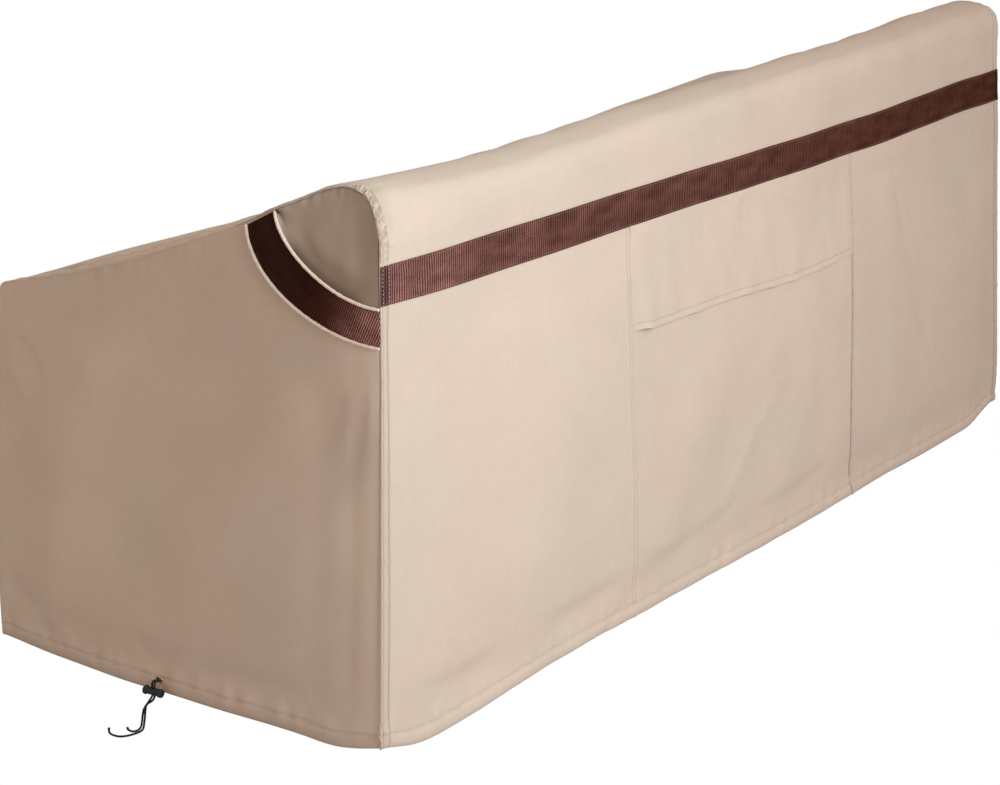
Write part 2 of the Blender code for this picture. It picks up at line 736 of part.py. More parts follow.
def arc_line(arc, lift, inset):
    """An arc's line, lifted off the end panel and moved in from its own edge."""
    plan = arc_stations(arc)
    lifted = offset_line(plan, -lift)
    line = [Vector((flat.x, flat.y, arc_z(arc, level.y))) for flat, level in zip(lifted, plan)]
    moved = []
    for index, point in enumerate(line):
        before, after = line[max(index - 1, 0)], line[min(index + 1, len(line) - 1)]
        run = Vector((after.y - before.y, after.z - before.z)).normalized()
        moved.append(point + Vector((0.0, -run.y, run.x)) * inset)
    return moved[:-ARC_END] + [moved[-ARC_END].lerp(moved[-ARC_END - 1], 0.1)]


def mirrored(points, side):
    return [Vector((point.x * side, point.y, point.z)) for point in points]


def arc_band(name, side, carrier):
    edge = PIPING_R + LAY_GAP
    grids = []
    for lift in (LAY_GAP + WEBBING, LAY_GAP):
        low = mirrored(arc_line(LOWER_ARC, lift, edge), side)
        high = mirrored(arc_line(UPPER_ARC, lift, -edge), side)
        middle = [first.lerp(second, 0.5) for first, second in zip(low, high)]
        grids.append([low, middle, high])
    return sheet(name, grids[0], grids[1], "webbing", carrier)


def tube(name, points, radius, finish, carrier, resolution=2):
    curve = bpy.data.curves.new(name, "CURVE")
    curve.dimensions = "3D"
    curve.bevel_depth = radius
    curve.bevel_resolution = resolution
    curve.use_fill_caps = True
    spline = curve.splines.new("POLY")
    spline.points.add(len(points) - 1)
    for spot, point in zip(spline.points, points):
        spot.co = (*point, 1.0)
    return place(bpy.data.objects.new(name, curve), finish, carrier)


def build_end(word, side, hem_table, carrier):
    end_panel(f"end_panel_{word}", side, hem_table, carrier)
    gusset(f"gusset_{word}", side, carrier)
    arc_band(f"arc_band_{word}", side, carrier)
    for level, arc in (("upper", UPPER_ARC), ("lower", LOWER_ARC)):
        line = arc_line(arc, LAY_GAP + PIPING_R, 0.0)
        line = [settle(point) for point in mirrored(line, side)]
        tube(f"piping_{level}_{word}", line, PIPING_R, "piping", carrier, 1)


# ---- rear band and vent flap ----
def rear_band(carrier):
    columns = spaced(CORNER_X, -CORNER_X, 30)
    grids = []
    for y in (LAY_GAP + WEBBING, LAY_GAP):
        grids.append([[Vector((x, y, along(REAR_BAND, x, field))) for x in columns]
                      for field in ("low", "high")])
    return sheet("rear_band", grids[0], grids[1], "webbing", carrier)


def vent_flap(carrier):
    """Sewn to the band and to both rear seams, and open along its lower edge."""
    outer, inner = [], []
    for share in spaced(0.006, 0.994, CENTRE_COLUMNS):
        lines = ([], [])
        for fall in (0.0, 0.12, 0.35, 0.58, 0.80, 1.0):
            x_high = NEAR_SEAM.x_high + (FAR_SEAM.x_high - NEAR_SEAM.x_high) * share
            top = along(REAR_BAND, x_high, "low") - SEAM_GAP
            z = top + (along(FLAP_EDGE, x_high, "z") - top) * fall
            x = seam_x(NEAR_SEAM, z) + (seam_x(FAR_SEAM, z) - seam_x(NEAR_SEAM, z)) * share
            sewn = math.sin(math.pi * share) ** 0.35
            gape = FLAP_GAPE * math.exp(-(((x - FLAP_GAPE_X) / 0.035) ** 2))
            lift = (FLAP_LIFT * sewn + gape * smooth(share / 0.03)) * fall ** 1.6
            back = rear_point(x, z) + Vector((0.0, 0.0006 + lift, 0.0))
            lines[0].append(back + Vector((0.0, CLOTH * 0.75, 0.0)))
            lines[1].append(back)
        outer.append(lines[0])
        inner.append(lines[1])
    return sheet("vent_flap", outer, inner, "cloth", carrier)


# ---- drawcord with its eyelet and lock ----
def smooth_route(points, step):
    """Even points along a Catmull-Rom curve through the route's own points."""
    ends = [points[0] * 2 - points[1], *points, points[-1] * 2 - points[-2]]
    fine = []
    for a, b, c, d in zip(ends, ends[1:], ends[2:], ends[3:]):
        for part in range(12):
            t = part / 12
            fine.append(0.5 * (2 * b + (c - a) * t + (2 * a - 5 * b + 4 * c - d) * t * t
                               + (3 * b - a - 3 * c + d) * t ** 3))
    fine.append(points[-1])
    lengths = [0.0]
    for first, second in zip(fine, fine[1:]):
        lengths.append(lengths[-1] + (second - first).length)
    count = round(lengths[-1] / step)
    even, index = [], 0
    for target in spaced(0.0, lengths[-1], count):
        while index < len(fine) - 2 and lengths[index + 1] < target:
            index += 1
        share = (target - lengths[index]) / (lengths[index + 1] - lengths[index])
        even.append(fine[index].lerp(fine[index + 1], clamp(share)))
    return even


def turned(name, profile, axis, centre, steps, finish, carrier):
    """A solid turned about an axis from (distance along, radius) points."""
    work = bmesh.new()
    rings = []
    for run, radius in profile:
        ring = []
        for step in range(steps):
            turn = math.tau * step / steps
            ring.append(work.verts.new((radius * math.cos(turn), radius * math.sin(turn), run)))
        rings.append(ring)
    for ring, following in zip(rings, rings[1:]):
        for index in range(steps):
            after = (index + 1) % steps
            work.faces.new((ring[index], ring[after], following[after], following[index]))
    work.faces.new(rings[0])
    work.faces.new(rings[-1])
    bmesh.ops.recalc_face_normals(work, faces=work.faces)
    mesh = bpy.data.meshes.new(name)
    work.to_mesh(mesh)
    work.free()
    mesh.shade_smooth()
    mesh.set_sharp_from_angle(angle=math.radians(40))
    obj = place(bpy.data.objects.new(name, mesh), finish, carrier)
    obj.location = centre
    obj.rotation_euler = Vector(axis).to_track_quat("Z", "Y").to_euler()
    return obj


def cutter(name, size, location, rotation, carrier):
    mesh = bpy.data.meshes.new(name)
    work = bmesh.new()
    bmesh.ops.create_cube(work, size=1.0)
    bmesh.ops.scale(work, vec=size, verts=work.verts)
    work.to_mesh(mesh)
    work.free()
    tool = bpy.data.objects.new(name, mesh)
    tool.parent = carrier
    tool.location, tool.rotation_euler = location, rotation
    tool.hide_render = True
    tool.display_type = "WIRE"
    bpy.context.scene.collection.objects.link(tool)
    return tool


def cut(obj, tool):
    boolean = obj.modifiers.new(tool.name, "BOOLEAN")
    boolean.operation = "DIFFERENCE"
    boolean.object = tool


def cord_lock(carrier):
    """A barrel lock: the body, a sprung button at one end and a slot for both strands."""
    half = LOCK_LENGTH / 2
    profile = (
        (-half, LOCK_CAP_R - 0.0022), (-half + 0.0012, LOCK_CAP_R - 0.0006),
        (-half + 0.0030, LOCK_CAP_R), (-half + LOCK_CAP, LOCK_R),
        (half - LOCK_CAP - 0.0050, LOCK_R), (half - LOCK_CAP - 0.0042, LOCK_R - 0.0014),
        (half - LOCK_CAP - 0.0018, LOCK_R - 0.0014), (half - LOCK_CAP, LOCK_CAP_R - 0.0008),
        (half - 0.0014, LOCK_CAP_R - 0.0006), (half, LOCK_CAP_R - 0.0024),
    )
    lock = turned("cord_lock", profile, LOCK_AXIS, LOCK_CENTRE, 20, "lock", carrier)
    heading = math.atan2(LOCK_AXIS[1], LOCK_AXIS[0])
    width = 2 * (LOCK_SLOT_HALF + LOCK_SLOT_R)
    slot = cutter("lock_slot", (width, 2 * LOCK_SLOT_R, 4 * LOCK_CAP_R), LOCK_CENTRE,
                  (0.0, 0.0, heading), carrier)
    cut(lock, slot)
    return lock


def casing_face():
    """x of the near end panel's outer face at the eyelet, and how far it leans."""
    height = WALL_SHARES[1] * FLARE_TOP
    share = (EYELET_Y + DEPTH) / DEPTH
    low, high = (end_point(share, z, z, 0.0).x for z in (0.0, height))
    return low + (high - low) * EYELET_Z / height, math.atan2(low - high, height)


def eyelet(carrier):
    """A brass ring on the near end panel's casing, where both strands of the cord come out."""
    face_x, lean = casing_face()
    curve = bpy.data.curves.new("eyelet", "CURVE")
    curve.dimensions = "3D"
    middle = (EYELET_R + EYELET_HOLE_R) / 2
    curve.bevel_depth = (EYELET_R - EYELET_HOLE_R) / 2
    curve.bevel_resolution = 1
    spline = curve.splines.new("POLY")
    spline.points.add(19)
    for index, spot in enumerate(spline.points):
        turn = math.tau * index / 20
        spot.co = (0.0, middle * math.cos(turn), middle * math.sin(turn), 1.0)
    spline.use_cyclic_u = True
    ring = place(bpy.data.objects.new("eyelet", curve), "brass", carrier)
    ring.location = (face_x + curve.bevel_depth + LAY_GAP, EYELET_Y, EYELET_Z)
    ring.rotation_euler = (0.0, -lean, 0.0)
    return ring


def build_drawcord(carrier):
    eyelet(carrier)
    cord_lock(carrier)
    for name, strand, ending in (("cord_tail_long", 1, LONG_END), ("cord_tail_short", -1, SHORT_END)):
        points = []
        start = PairPoint(casing_face()[0] + LAY_GAP, EYELET_Y, EYELET_Z, 0)
        for x, y, z, turn in (start, *PAIR_ROUTE):
            aside = Vector((math.sin(math.radians(turn)), -math.cos(math.radians(turn)), 0.0))
            points.append(Vector((x, y, z)) + aside * (STRAND_HALF * strand))
        points += [Vector(point) for point in ending]
        tube(name, smooth_route(points, CORD_STEP), CORD_R, "cord", carrier, 2)


def main():
    for obj in list(bpy.data.objects):
        bpy.data.objects.remove(obj)
    cover = bpy.data.objects.new("cover", None)
    cover.location = (0.0, -CROWN_Y, CLOTH - crown_height(0.0))
    bpy.context.scene.collection.objects.link(cover)
    build_rear(cover)
    build_sleeve(cover)
    build_end("near", 1, NEAR_HEM, cover)
    build_end("far", -1, FAR_HEM, cover)
    rear_band(cover)
    vent_flap(cover)
    build_drawcord(cover)


main()
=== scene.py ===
import math
import random

import bmesh
import bpy
import numpy as np
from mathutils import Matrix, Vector


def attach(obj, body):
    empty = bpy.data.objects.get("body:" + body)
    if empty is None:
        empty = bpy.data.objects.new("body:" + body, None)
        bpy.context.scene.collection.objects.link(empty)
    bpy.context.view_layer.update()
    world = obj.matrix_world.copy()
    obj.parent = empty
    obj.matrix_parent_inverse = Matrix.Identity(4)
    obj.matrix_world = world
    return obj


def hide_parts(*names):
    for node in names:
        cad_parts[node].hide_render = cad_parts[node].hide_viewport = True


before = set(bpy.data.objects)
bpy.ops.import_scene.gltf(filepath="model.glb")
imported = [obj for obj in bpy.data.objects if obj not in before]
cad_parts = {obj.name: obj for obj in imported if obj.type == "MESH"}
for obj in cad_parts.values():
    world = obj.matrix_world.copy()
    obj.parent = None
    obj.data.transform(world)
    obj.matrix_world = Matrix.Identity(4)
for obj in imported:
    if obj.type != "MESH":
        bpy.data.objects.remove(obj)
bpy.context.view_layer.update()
scene = bpy.context.scene
print("stage: frame loaded")

lift = np.array([0.0, 0.083, -0.8915])  # from the hem's frame to the model's own
floorZ = -0.058 + lift[2]


def placed(name, data):  # a new object in the scene
    obj = bpy.data.objects.new(name, data)
    scene.collection.objects.link(obj)
    return obj


# camera, at the photograph's own angle
lens = bpy.data.cameras.new("camera")
lens.lens = 95.9
lens.sensor_width = 36.0
lens.shift_y = -0.1
camera = placed("camera", lens)
camera.location = (4.172, 2.429, 0.8185)
camera.rotation_euler = (math.radians(75.853), 0.0, math.radians(124.71))
scene.camera = camera


# small maths on arrays
def mm(values):  # a table in millimetres, as metres
    return np.array(values, float) / 1000


def clamp(value, low=0.0, high=1.0):
    return np.clip(value, low, high)


def smooth(value):
    value = clamp(value)
    return value * value * (3 - 2 * value)


def within(share, pace):  # 1 along a share, and nothing at its two ends
    return smooth(share * pace) * smooth((1 - share) * pace)


def hump(value, centre, width):
    return np.exp(-(((value - centre) / width) ** 2))


def through(knots, values, at):  # a smooth curve through rows of values
    knots, values, at = np.asarray(knots, float), np.asarray(values, float), np.asarray(at, float)
    gaps = np.diff(knots).reshape((-1,) + (1,) * (values.ndim - 1))
    slopes = np.diff(values, axis=0) / gaps
    middle = (slopes[:-1] * gaps[1:] + slopes[1:] * gaps[:-1]) / (gaps[:-1] + gaps[1:])
    tangents = np.concatenate([slopes[:1], middle, slopes[-1:]])
    at = clamp(at, knots[0], knots[-1])
    index = clamp(np.searchsorted(knots, at) - 1, 0, len(knots) - 2)
    gap = (knots[index + 1] - knots[index])
    t = (at - knots[index]) / gap
    if values.ndim > 1:
        t, gap = (part.reshape(part.shape + (1,) * (values.ndim - 1)) for part in (t, gap))
    a, b, ta, tb = values[index], values[index + 1], tangents[index] * gap, tangents[index + 1] * gap
    near = (2 * t**3 - 3 * t**2 + 1) * a + (t**3 - 2 * t**2 + t) * ta
    return near + (3 * t**2 - 2 * t**3) * b + (t**3 - t**2) * tb


def along(table, at):
    table = np.asarray(table)
    return through(table[:, 0], table[:, 1], at)


def ripple(seed, a, sizeA, b=0.0, sizeB=1.0, count=12):  # an uneven soft field of about unit height
    dice = random.Random(seed)
    field = np.zeros(np.broadcast(a, b).shape)
    for _ in range(count):
        turn, pace, start = dice.uniform(-1, 1), dice.uniform(0.6, 1.4), dice.uniform(0, math.tau)
        wave = a / sizeA * math.sqrt(1 - turn * turn) + b / sizeB * turn
        field = field + np.cos(math.tau * pace * wave + start)
    return field / math.sqrt(count / 2)


def foldPush(folds, a, b):  # the CAD's main folds: from, to, width, rise
    push = 0.0
    for a0, b0, a1, b1, width, rise in folds:
        runA, runB = a1 - a0, b1 - b0
        share = clamp(((a - a0) * runA + (b - b0) * runB) / (runA**2 + runB**2))
        away = (a - a0 - runA * share) ** 2 + (b - b0 - runB * share) ** 2
        push = push + rise * np.exp(-away / width**2)
    return push


def creasePush(creases, a, b):  # from, to, bow, width left and right of it, rise
    push = 0.0
    for a0, b0, a1, b1, bow, left, right, rise in creases:
        runA, runB = a1 - a0, b1 - b0
        size = math.hypot(runA, runB)
        share = ((a - a0) * runA + (b - b0) * runB) / size**2
        inside = clamp(share)
        aside = ((b - b0) * runA - (a - a0) * runB) / size - 4 * bow * inside * (1 - inside)
        width = np.where(aside > 0, left, right)
        ends = smooth((share + 0.12) / 0.35) * smooth((1.12 - share) / 0.35)
        push = push + rise * np.exp(-((aside / width) ** 2)) * ends
    return push


def steps(close, low, high, step, both=True):  # even steps, with close ones next to the ends
    start, stop = low + close[-1], high - (close[-1] if both else 0.0)
    middle = np.linspace(start, stop, max(2, round((stop - start) / step) + 1))
    return np.concatenate([low + close[:-1], middle, high - close[:-1][::-1] if both else []])


def nearest(values, place):
    return int(np.argmin(abs(values - place)))


def lengthsAlong(line):
    return np.concatenate([[0.0], np.cumsum(np.linalg.norm(np.diff(line, axis=0), axis=1))])


def pushed(points, amount, outward):  # moved along the normals, away from the inside
    normal = np.cross(np.gradient(points, axis=0), np.gradient(points, axis=1))
    normal = normal / np.maximum(np.linalg.norm(normal, axis=-1, keepdims=True), 1e-12)
    if (normal[normal.shape[0] // 2, normal.shape[1] // 2] @ np.asarray(outward, float)) < 0:
        normal = -normal
    return points + normal * np.asarray(amount)[..., None], normal


# the shared shape of the cover, in the hem's frame
cover = {
    "endX": 1.105, "cornerX": 1.095, "depth": 0.795, "frontHeight": 0.636, "frontRound": 0.02,
    "flareTop": 0.6, "rearFlare": 0.0145, "endFlare": 0.022, "cornerFlare": 0.03, "frontFlare": 0.018,
    "cornerTuck": 0.005, "tuckHeight": 0.16, "seamGap": 0.0004, "hemLine": 0.0245, "seamStart": 0.03,
}
halfGap = cover["seamGap"] / 2
span, crownSpan = 2 * cover["endX"], 2 * cover["cornerX"]


def settle(points):  # the whole cover leans and squares up a little as it hangs
    x, y, z = points[..., 0], points[..., 1], points[..., 2]
    rise = smooth((z - 0.6) / 0.24)
    aside = (0.008 - 0.01 * rise) * x / 1.1 * clamp(1 + y / 0.05)
    back = (0.0025 - 0.0075 * rise) * clamp(1 + y / 0.25)
    return np.stack([x + aside, y + back, z], -1)


def flare(amount, z):
    return amount * clamp(1 - z / cover["flareTop"])


def tuck(z):
    return cover["cornerTuck"] * clamp(1 - z / cover["tuckHeight"]) ** 2


def rollDown(drop, reach, distance):
    return drop * (1 - np.sqrt(1 - (1 - clamp(distance / reach)) ** 2))


def cornerX(z):
    return cover["cornerX"] + flare(cover["cornerFlare"], z) - tuck(z)


def rearCornerY(z):
    return flare(cover["rearFlare"], z) - tuck(z)


def frontCornerY(z):
    return -cover["depth"] - flare(cover["frontFlare"], z) + tuck(z)


def wallPush(wall, a, z, top, fromCorner):
    free, upper = smooth(fromCorner / 0.14), smooth((top - z) / 0.06)
    hang = wall["belly"] * np.sin(np.pi * clamp(z / top))
    draw = 0.006 * hump(z, 0.055, 0.035) * (0.75 + 0.25 * np.sin(23 * a))
    main = (hang + foldPush(wall["folds"], a, z) - draw) * free * upper
    return main + tuck(z) * free + creasePush(wall["creases"], a, z) * smooth(fromCorner / 0.03)


def hemHeight(z, hem):
    return z + hem * clamp(1 - z / (0.5 * cover["flareTop"])) ** 2


def casing(z, at, seed):  # the hem turned over its cord, and the stitched line above it
    puff = 0.0022 * np.sin(np.pi * clamp(z / 0.024)) - 0.0012 * hump(z, 0.0, 0.0018)
    groove = -0.0009 * hump(z, cover["hemLine"], 0.0024)
    gather = 0.0011 * ripple(seed, at, 0.034, count=9) * hump(z, 0.028, 0.016)
    return puff + groove + gather


def hemShade(z, deep=0.05):
    return deep * hump(z, cover["hemLine"], 0.002) + 0.1 * hump(z, 0.0, 0.0015)


def hemThickness(z):  # the casing is two layers thick
    return 0.0013 + 0.001 * smooth((0.026 - z) / 0.003)


# felled seams: where the two stitched lines lie, their mesh columns, how deep they draw in, and how much
# painted shade their seam line gets
wide = {"lines": (0.0045, 0.0185), "columns": (4, 12), "depth": 1.0, "soft": 0.0014, "lip": None, "dark": None}
narrow = {**wide, "lines": (0.0022, 0.0106), "columns": (2, 8), "depth": 0.35, "soft": 0.006, "lip": 1.5}
narrow["dark"] = (0.0, 0.001)
pressed = {**wide, "lines": (0.0022, 0.01061), "columns": (2, 8), "dark": (0.46, 0.0034)}


def felled(distance, at, seed, seam):  # a seam's turned strip between its two stitched lines
    first, second = seam["lines"]
    lip = seam["lip"] or smooth(distance / 0.0008)
    strip = 0.001 * lip * smooth((second + seam["soft"] - distance) / seam["soft"])
    grooves = 0.001 * hump(distance, first, 0.0009) + 0.0013 * hump(distance, second, 0.0012)
    easing = np.exp(-clamp(distance) / second) * smooth(distance / 0.003)
    return strip - seam["depth"] * grooves + 0.0007 * ripple(seed, at, 0.022, count=9) * easing


def felledShade(distance, seam):  # painted shadow in the grooves and a little on the strip, and a painted highlight on the lip beside the seam
    first, second = seam["lines"]
    if seam["dark"]:
        deep, size = seam["dark"]
        return deep * hump(distance, 0.0, size) + 0.05 * hump(distance, second + 0.0006, 0.0014)
    groove = 0.24 * hump(distance, first, 0.0011) + 0.4 * hump(distance, second + 0.0006, 0.0018)
    strip = 0.08 * smooth(distance / 0.001) * smooth((second - distance) / 0.001)
    return 0.34 * hump(distance, 0.0, 0.0009) + groove + strip - 0.16 * hump(distance, 0.002, 0.001)


def seamColumns(seam, way):  # the columns on a seam's stitched lines, counted from either side
    return [column if way > 0 else -1 - column for column in seam["columns"]] if seam else []


def bandWave(x, z):  # the band's seam is drawn in and out a little along the cover
    upright = smooth((z - 0.6) / 0.08) * smooth((0.83 - z) / 0.04)
    return 0.0012 * ripple(5, x, 0.33, count=7) * upright * smooth((cover["cornerX"] - np.abs(x)) / 0.12)


# making closed thin sheets; mesh lines lie closer at a seam and along the hem
close = mm([0, 1, 2.2, 3.4, 4.5, 5.6, 7.8, 9.5, 10.6, 11.8, 14.5, 17.2, 18.5, 19.8, 21.5, 26, 34])
closeHem = mm([0, 1, 2.5, 6, 11, 16, 20, 22.8, 24.5, 26.2, 29, 34, 41])


def gridLengths(points, axis):
    lengths = np.linalg.norm(np.diff(points, axis=axis), axis=-1)
    start = np.zeros((1, lengths.shape[1]) if axis == 0 else (lengths.shape[0], 1))
    return np.concatenate([start, np.cumsum(lengths, axis=axis)], axis=axis)


def pointLayer(mesh, name, values):
    layer = mesh.attributes.new(name, "FLOAT", "POINT")
    layer.data.foreach_set("value", np.asarray(values, np.float32).ravel())


def meshObject(name, spots, faces, metres, material):
    mesh = bpy.data.meshes.new(name)
    mesh.from_pydata((spots + lift).tolist(), [], faces)
    layer = mesh.uv_layers.new(name="metres")
    layer.data.foreach_set("uv", np.asarray(metres, np.float32).ravel())
    mesh.shade_smooth()
    mesh.materials.append(material)
    return placed(name, mesh)


def sheetMesh(name, outer, inner, material, shade=0.0, run=None):  # two grids, closed around their rim
    rows, columns = outer.shape[:2]
    outer, inner = settle(outer), settle(inner)
    size = rows * columns
    index = np.arange(size).reshape(rows, columns)
    corners = index[:-1, :-1], index[:-1, 1:], index[1:, 1:], index[1:, :-1]
    face = np.stack([corner.ravel() for corner in corners], -1)
    rim = np.concatenate([index[0, :], index[1:, -1], index[-1, -2::-1], index[-2:0:-1, 0]])
    after = np.roll(rim, -1)
    faces = np.concatenate([face, face[:, ::-1] + size, np.stack([after, rim, rim + size, after + size], -1)])
    middle = outer[rows // 2 - 1:rows // 2 + 1, columns // 2 - 1:columns // 2 + 1]
    facing = np.cross(middle[0, 1] - middle[0, 0], middle[1, 0] - middle[0, 0])
    if facing @ (middle[0, 0] - inner[rows // 2 - 1, columns // 2 - 1]) < 0:
        faces = faces[:, ::-1]
    across, up = (gridLengths(outer, 1) if run is None else run).ravel(), gridLengths(outer, 0).ravel()
    metres = np.stack([np.tile(across, 2), np.tile(up, 2)], -1)[faces.ravel()]
    spots = np.concatenate([outer.reshape(-1, 3), inner.reshape(-1, 3)])
    obj = meshObject(name, spots, faces.tolist(), metres, material)
    pointLayer(obj.data, "inside", np.repeat([0.0, 1.0], size))
    # the shade layer darkens the outer face as painted shade; where it is below zero it paints light
    pointLayer(obj.data, "shade", np.concatenate([(shade + 0 * outer[..., 0]).ravel(), np.zeros(size)]))
    obj.data.set_sharp_from_angle(angle=math.radians(50))
    return obj


def dressed(obj, node):  # it takes the place of its CAD piece
    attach(obj, "root")
    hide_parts(node)
    return obj


def sewn(name, node, outer, normal, thickness, shade):
    inner = outer - normal * np.asarray(thickness)[..., None]
    return dressed(sheetMesh(name, outer, inner, clothLook, shade), node)


# stitches: their size, and the sewn lines that they are laid along
stitch = {"pitch": 0.0042, "length": 0.003, "thickness": 0.00068, "proud": 0.0003}
stitchRows = {}


def stitchLine(group, line, normal):
    stitchRows.setdefault(group, []).append(settle(line + normal * stitch["proud"]) + lift)


def stitchHem(z, outer, normal):
    row = nearest(z[:, 0], cover["hemLine"])
    stitchLine("stitchesHem", outer[row], normal[row])


def stitchSeams(outer, normal, rows, columns):
    for column in columns:
        stitchLine("stitchesSeams", outer[rows, column], normal[rows, column])


# materials
def fill(tree, socket, value):  # with a link, a colour or a number
    if isinstance(value, bpy.types.NodeSocket):
        tree.links.new(value, socket)
    else:
        socket.default_value = (*value, 1.0) if isinstance(value, tuple) else value


def add(tree, kind, inputs=(), out=0, **settings):  # a new node, and one of its outputs
    node = tree.nodes.new(kind)
    for name, value in settings.items():
        setattr(node, name, value)
    for place, value in inputs.items() if isinstance(inputs, dict) else enumerate(inputs):
        fill(tree, node.inputs[place], value)
    return node.outputs[out]


def maths(tree, operation, *values, **settings):  # a tuple among the values is a sum of its own
    values = [maths(tree, *value) if isinstance(value, tuple) else value for value in values]
    return add(tree, "ShaderNodeMath", values, operation=operation, **settings)


def noise(tree, place, scale, detail=2.0, rough=0.5):
    inputs = {"Vector": place, "Scale": scale, "Detail": detail, "Roughness": rough}
    return add(tree, "ShaderNodeTexNoise", inputs, "Fac")


def mixColor(tree, factor, first, second, blend="MIX", limited=True):
    inputs = {0: factor, 6: first, 7: second}
    return add(tree, "ShaderNodeMix", inputs, 2, data_type="RGBA", blend_type=blend, clamp_factor=limited)


def scaled(tree, color, factor):
    return add(tree, "ShaderNodeVectorMath", {0: color, "Scale": factor}, operation="SCALE")


def threads(tree, metres, axis, pitch):  # a wave along one of the cloth's own directions
    place = add(tree, "ShaderNodeSeparateXYZ", [metres], axis)
    return maths(tree, "SINE", ("MULTIPLY", place, math.tau / pitch))


def newGroup(name, kind, inputs, outputs):  # a node tree, and the sockets at its two ends
    tree = bpy.data.node_groups.new(name, kind + "NodeTree")
    for way, sockets in (("INPUT", inputs), ("OUTPUT", outputs)):
        for label, value in sockets.items():
            tree.interface.new_socket(label, in_out=way, socket_type="NodeSocket" + value)
    return tree, tree.nodes.new("NodeGroupInput").outputs, tree.nodes.new("NodeGroupOutput").inputs


def lookGroup(name, **extra):  # with the inputs and outputs that every cloth's look has
    inputs = {"Metres": "Vector", "Place": "Vector", "Inside": "Float", "Shade": "Float", "Color": "Color"}
    outputs = {"Color": "Color", "Roughness": "Float", "Height": "Float"}
    return newGroup(name, "Shader", {**inputs, **extra}, outputs)


def newMaterial(name):
    material = bpy.data.materials.new(name)
    material.use_nodes = True
    return material, material.node_tree, material.node_tree.nodes["Principled BSDF"].inputs


def clothMaterial(name, color, group, relief, sheen=0.0, specular=0.28, **more):
    material, tree, shader = newMaterial(name)
    look = tree.nodes.new("ShaderNodeGroup")
    look.node_tree = group
    fill(tree, look.inputs["Color"], color)
    fill(tree, look.inputs["Metres"], add(tree, "ShaderNodeUVMap", uv_map="metres"))
    fill(tree, look.inputs["Place"], add(tree, "ShaderNodeTexCoord", out="Object"))
    for label in ("Inside", "Shade", "Fade"):
        if label in look.inputs:
            layer = add(tree, "ShaderNodeAttribute", out="Fac", attribute_name=label.lower())
            fill(tree, look.inputs[label], layer)
    for label, value in more.items():
        fill(tree, look.inputs[label], value)
    bump = add(tree, "ShaderNodeBump", {"Distance": relief, "Height": look.outputs["Height"]})
    fill(tree, shader["Base Color"], look.outputs["Color"])
    fill(tree, shader["Roughness"], look.outputs["Roughness"])
    fill(tree, shader["Normal"], bump)
    fill(tree, shader["Sheen Weight"], sheen)
    fill(tree, shader["Sheen Roughness"], 0.5)
    fill(tree, shader["Specular IOR Level"], specular)
    return material


weave, weaveIn, weaveOut = lookGroup("clothWeave")
warp, weft = (threads(weave, weaveIn["Metres"], axis, 0.0011) for axis in (0, 1))
checker = maths(weave, "MULTIPLY", warp, weft)
slub = noise(weave, weaveIn["Place"], 900.0)
mottle = noise(weave, weaveIn["Place"], 60.0, 3.0, 0.6)
cloud = noise(weave, weaveIn["Place"], 5.0)
clouded = ("ADD", ("MULTIPLY", ("SUBTRACT", mottle, 0.5), 0.1), ("MULTIPLY", ("SUBTRACT", cloud, 0.5), 0.14))
tone = maths(weave, "ADD", ("ADD", ("MULTIPLY", checker, 0.012), clouded), 1.0)
warmth = maths(weave, "MULTIPLY_ADD", noise(weave, weaveIn["Place"], 4.2, 3.0, 0.6), 3.0, -1.0, use_clamp=True)
warmed = mixColor(weave, warmth, (0.98, 1.006, 1.002), (1.024, 0.994, 0.99))
toned = scaled(weave, mixColor(weave, 1.0, weaveIn["Color"], warmed, "MULTIPLY"), tone)
# painted shade from the shade layer, mixing toward dark brown; below zero it paints light
shadowed = mixColor(weave, weaveIn["Shade"], toned, (0.085, 0.04, 0.016), limited=False)
fill(weave, weaveOut["Color"], mixColor(weave, weaveIn["Inside"], shadowed, (0.62, 0.58, 0.53)))
fill(weave, weaveOut["Roughness"], maths(weave, "ADD", ("MULTIPLY", mottle, 0.14), 0.62))
fill(weave, weaveOut["Height"], maths(weave, "ADD", ("MULTIPLY", checker, 0.35), ("MULTIPLY", slub, 0.6)))

clothLook = clothMaterial("coatedCloth", (0.6, 0.465, 0.36), weave, 0.0001, 0.08)
print("stage: cloth material")


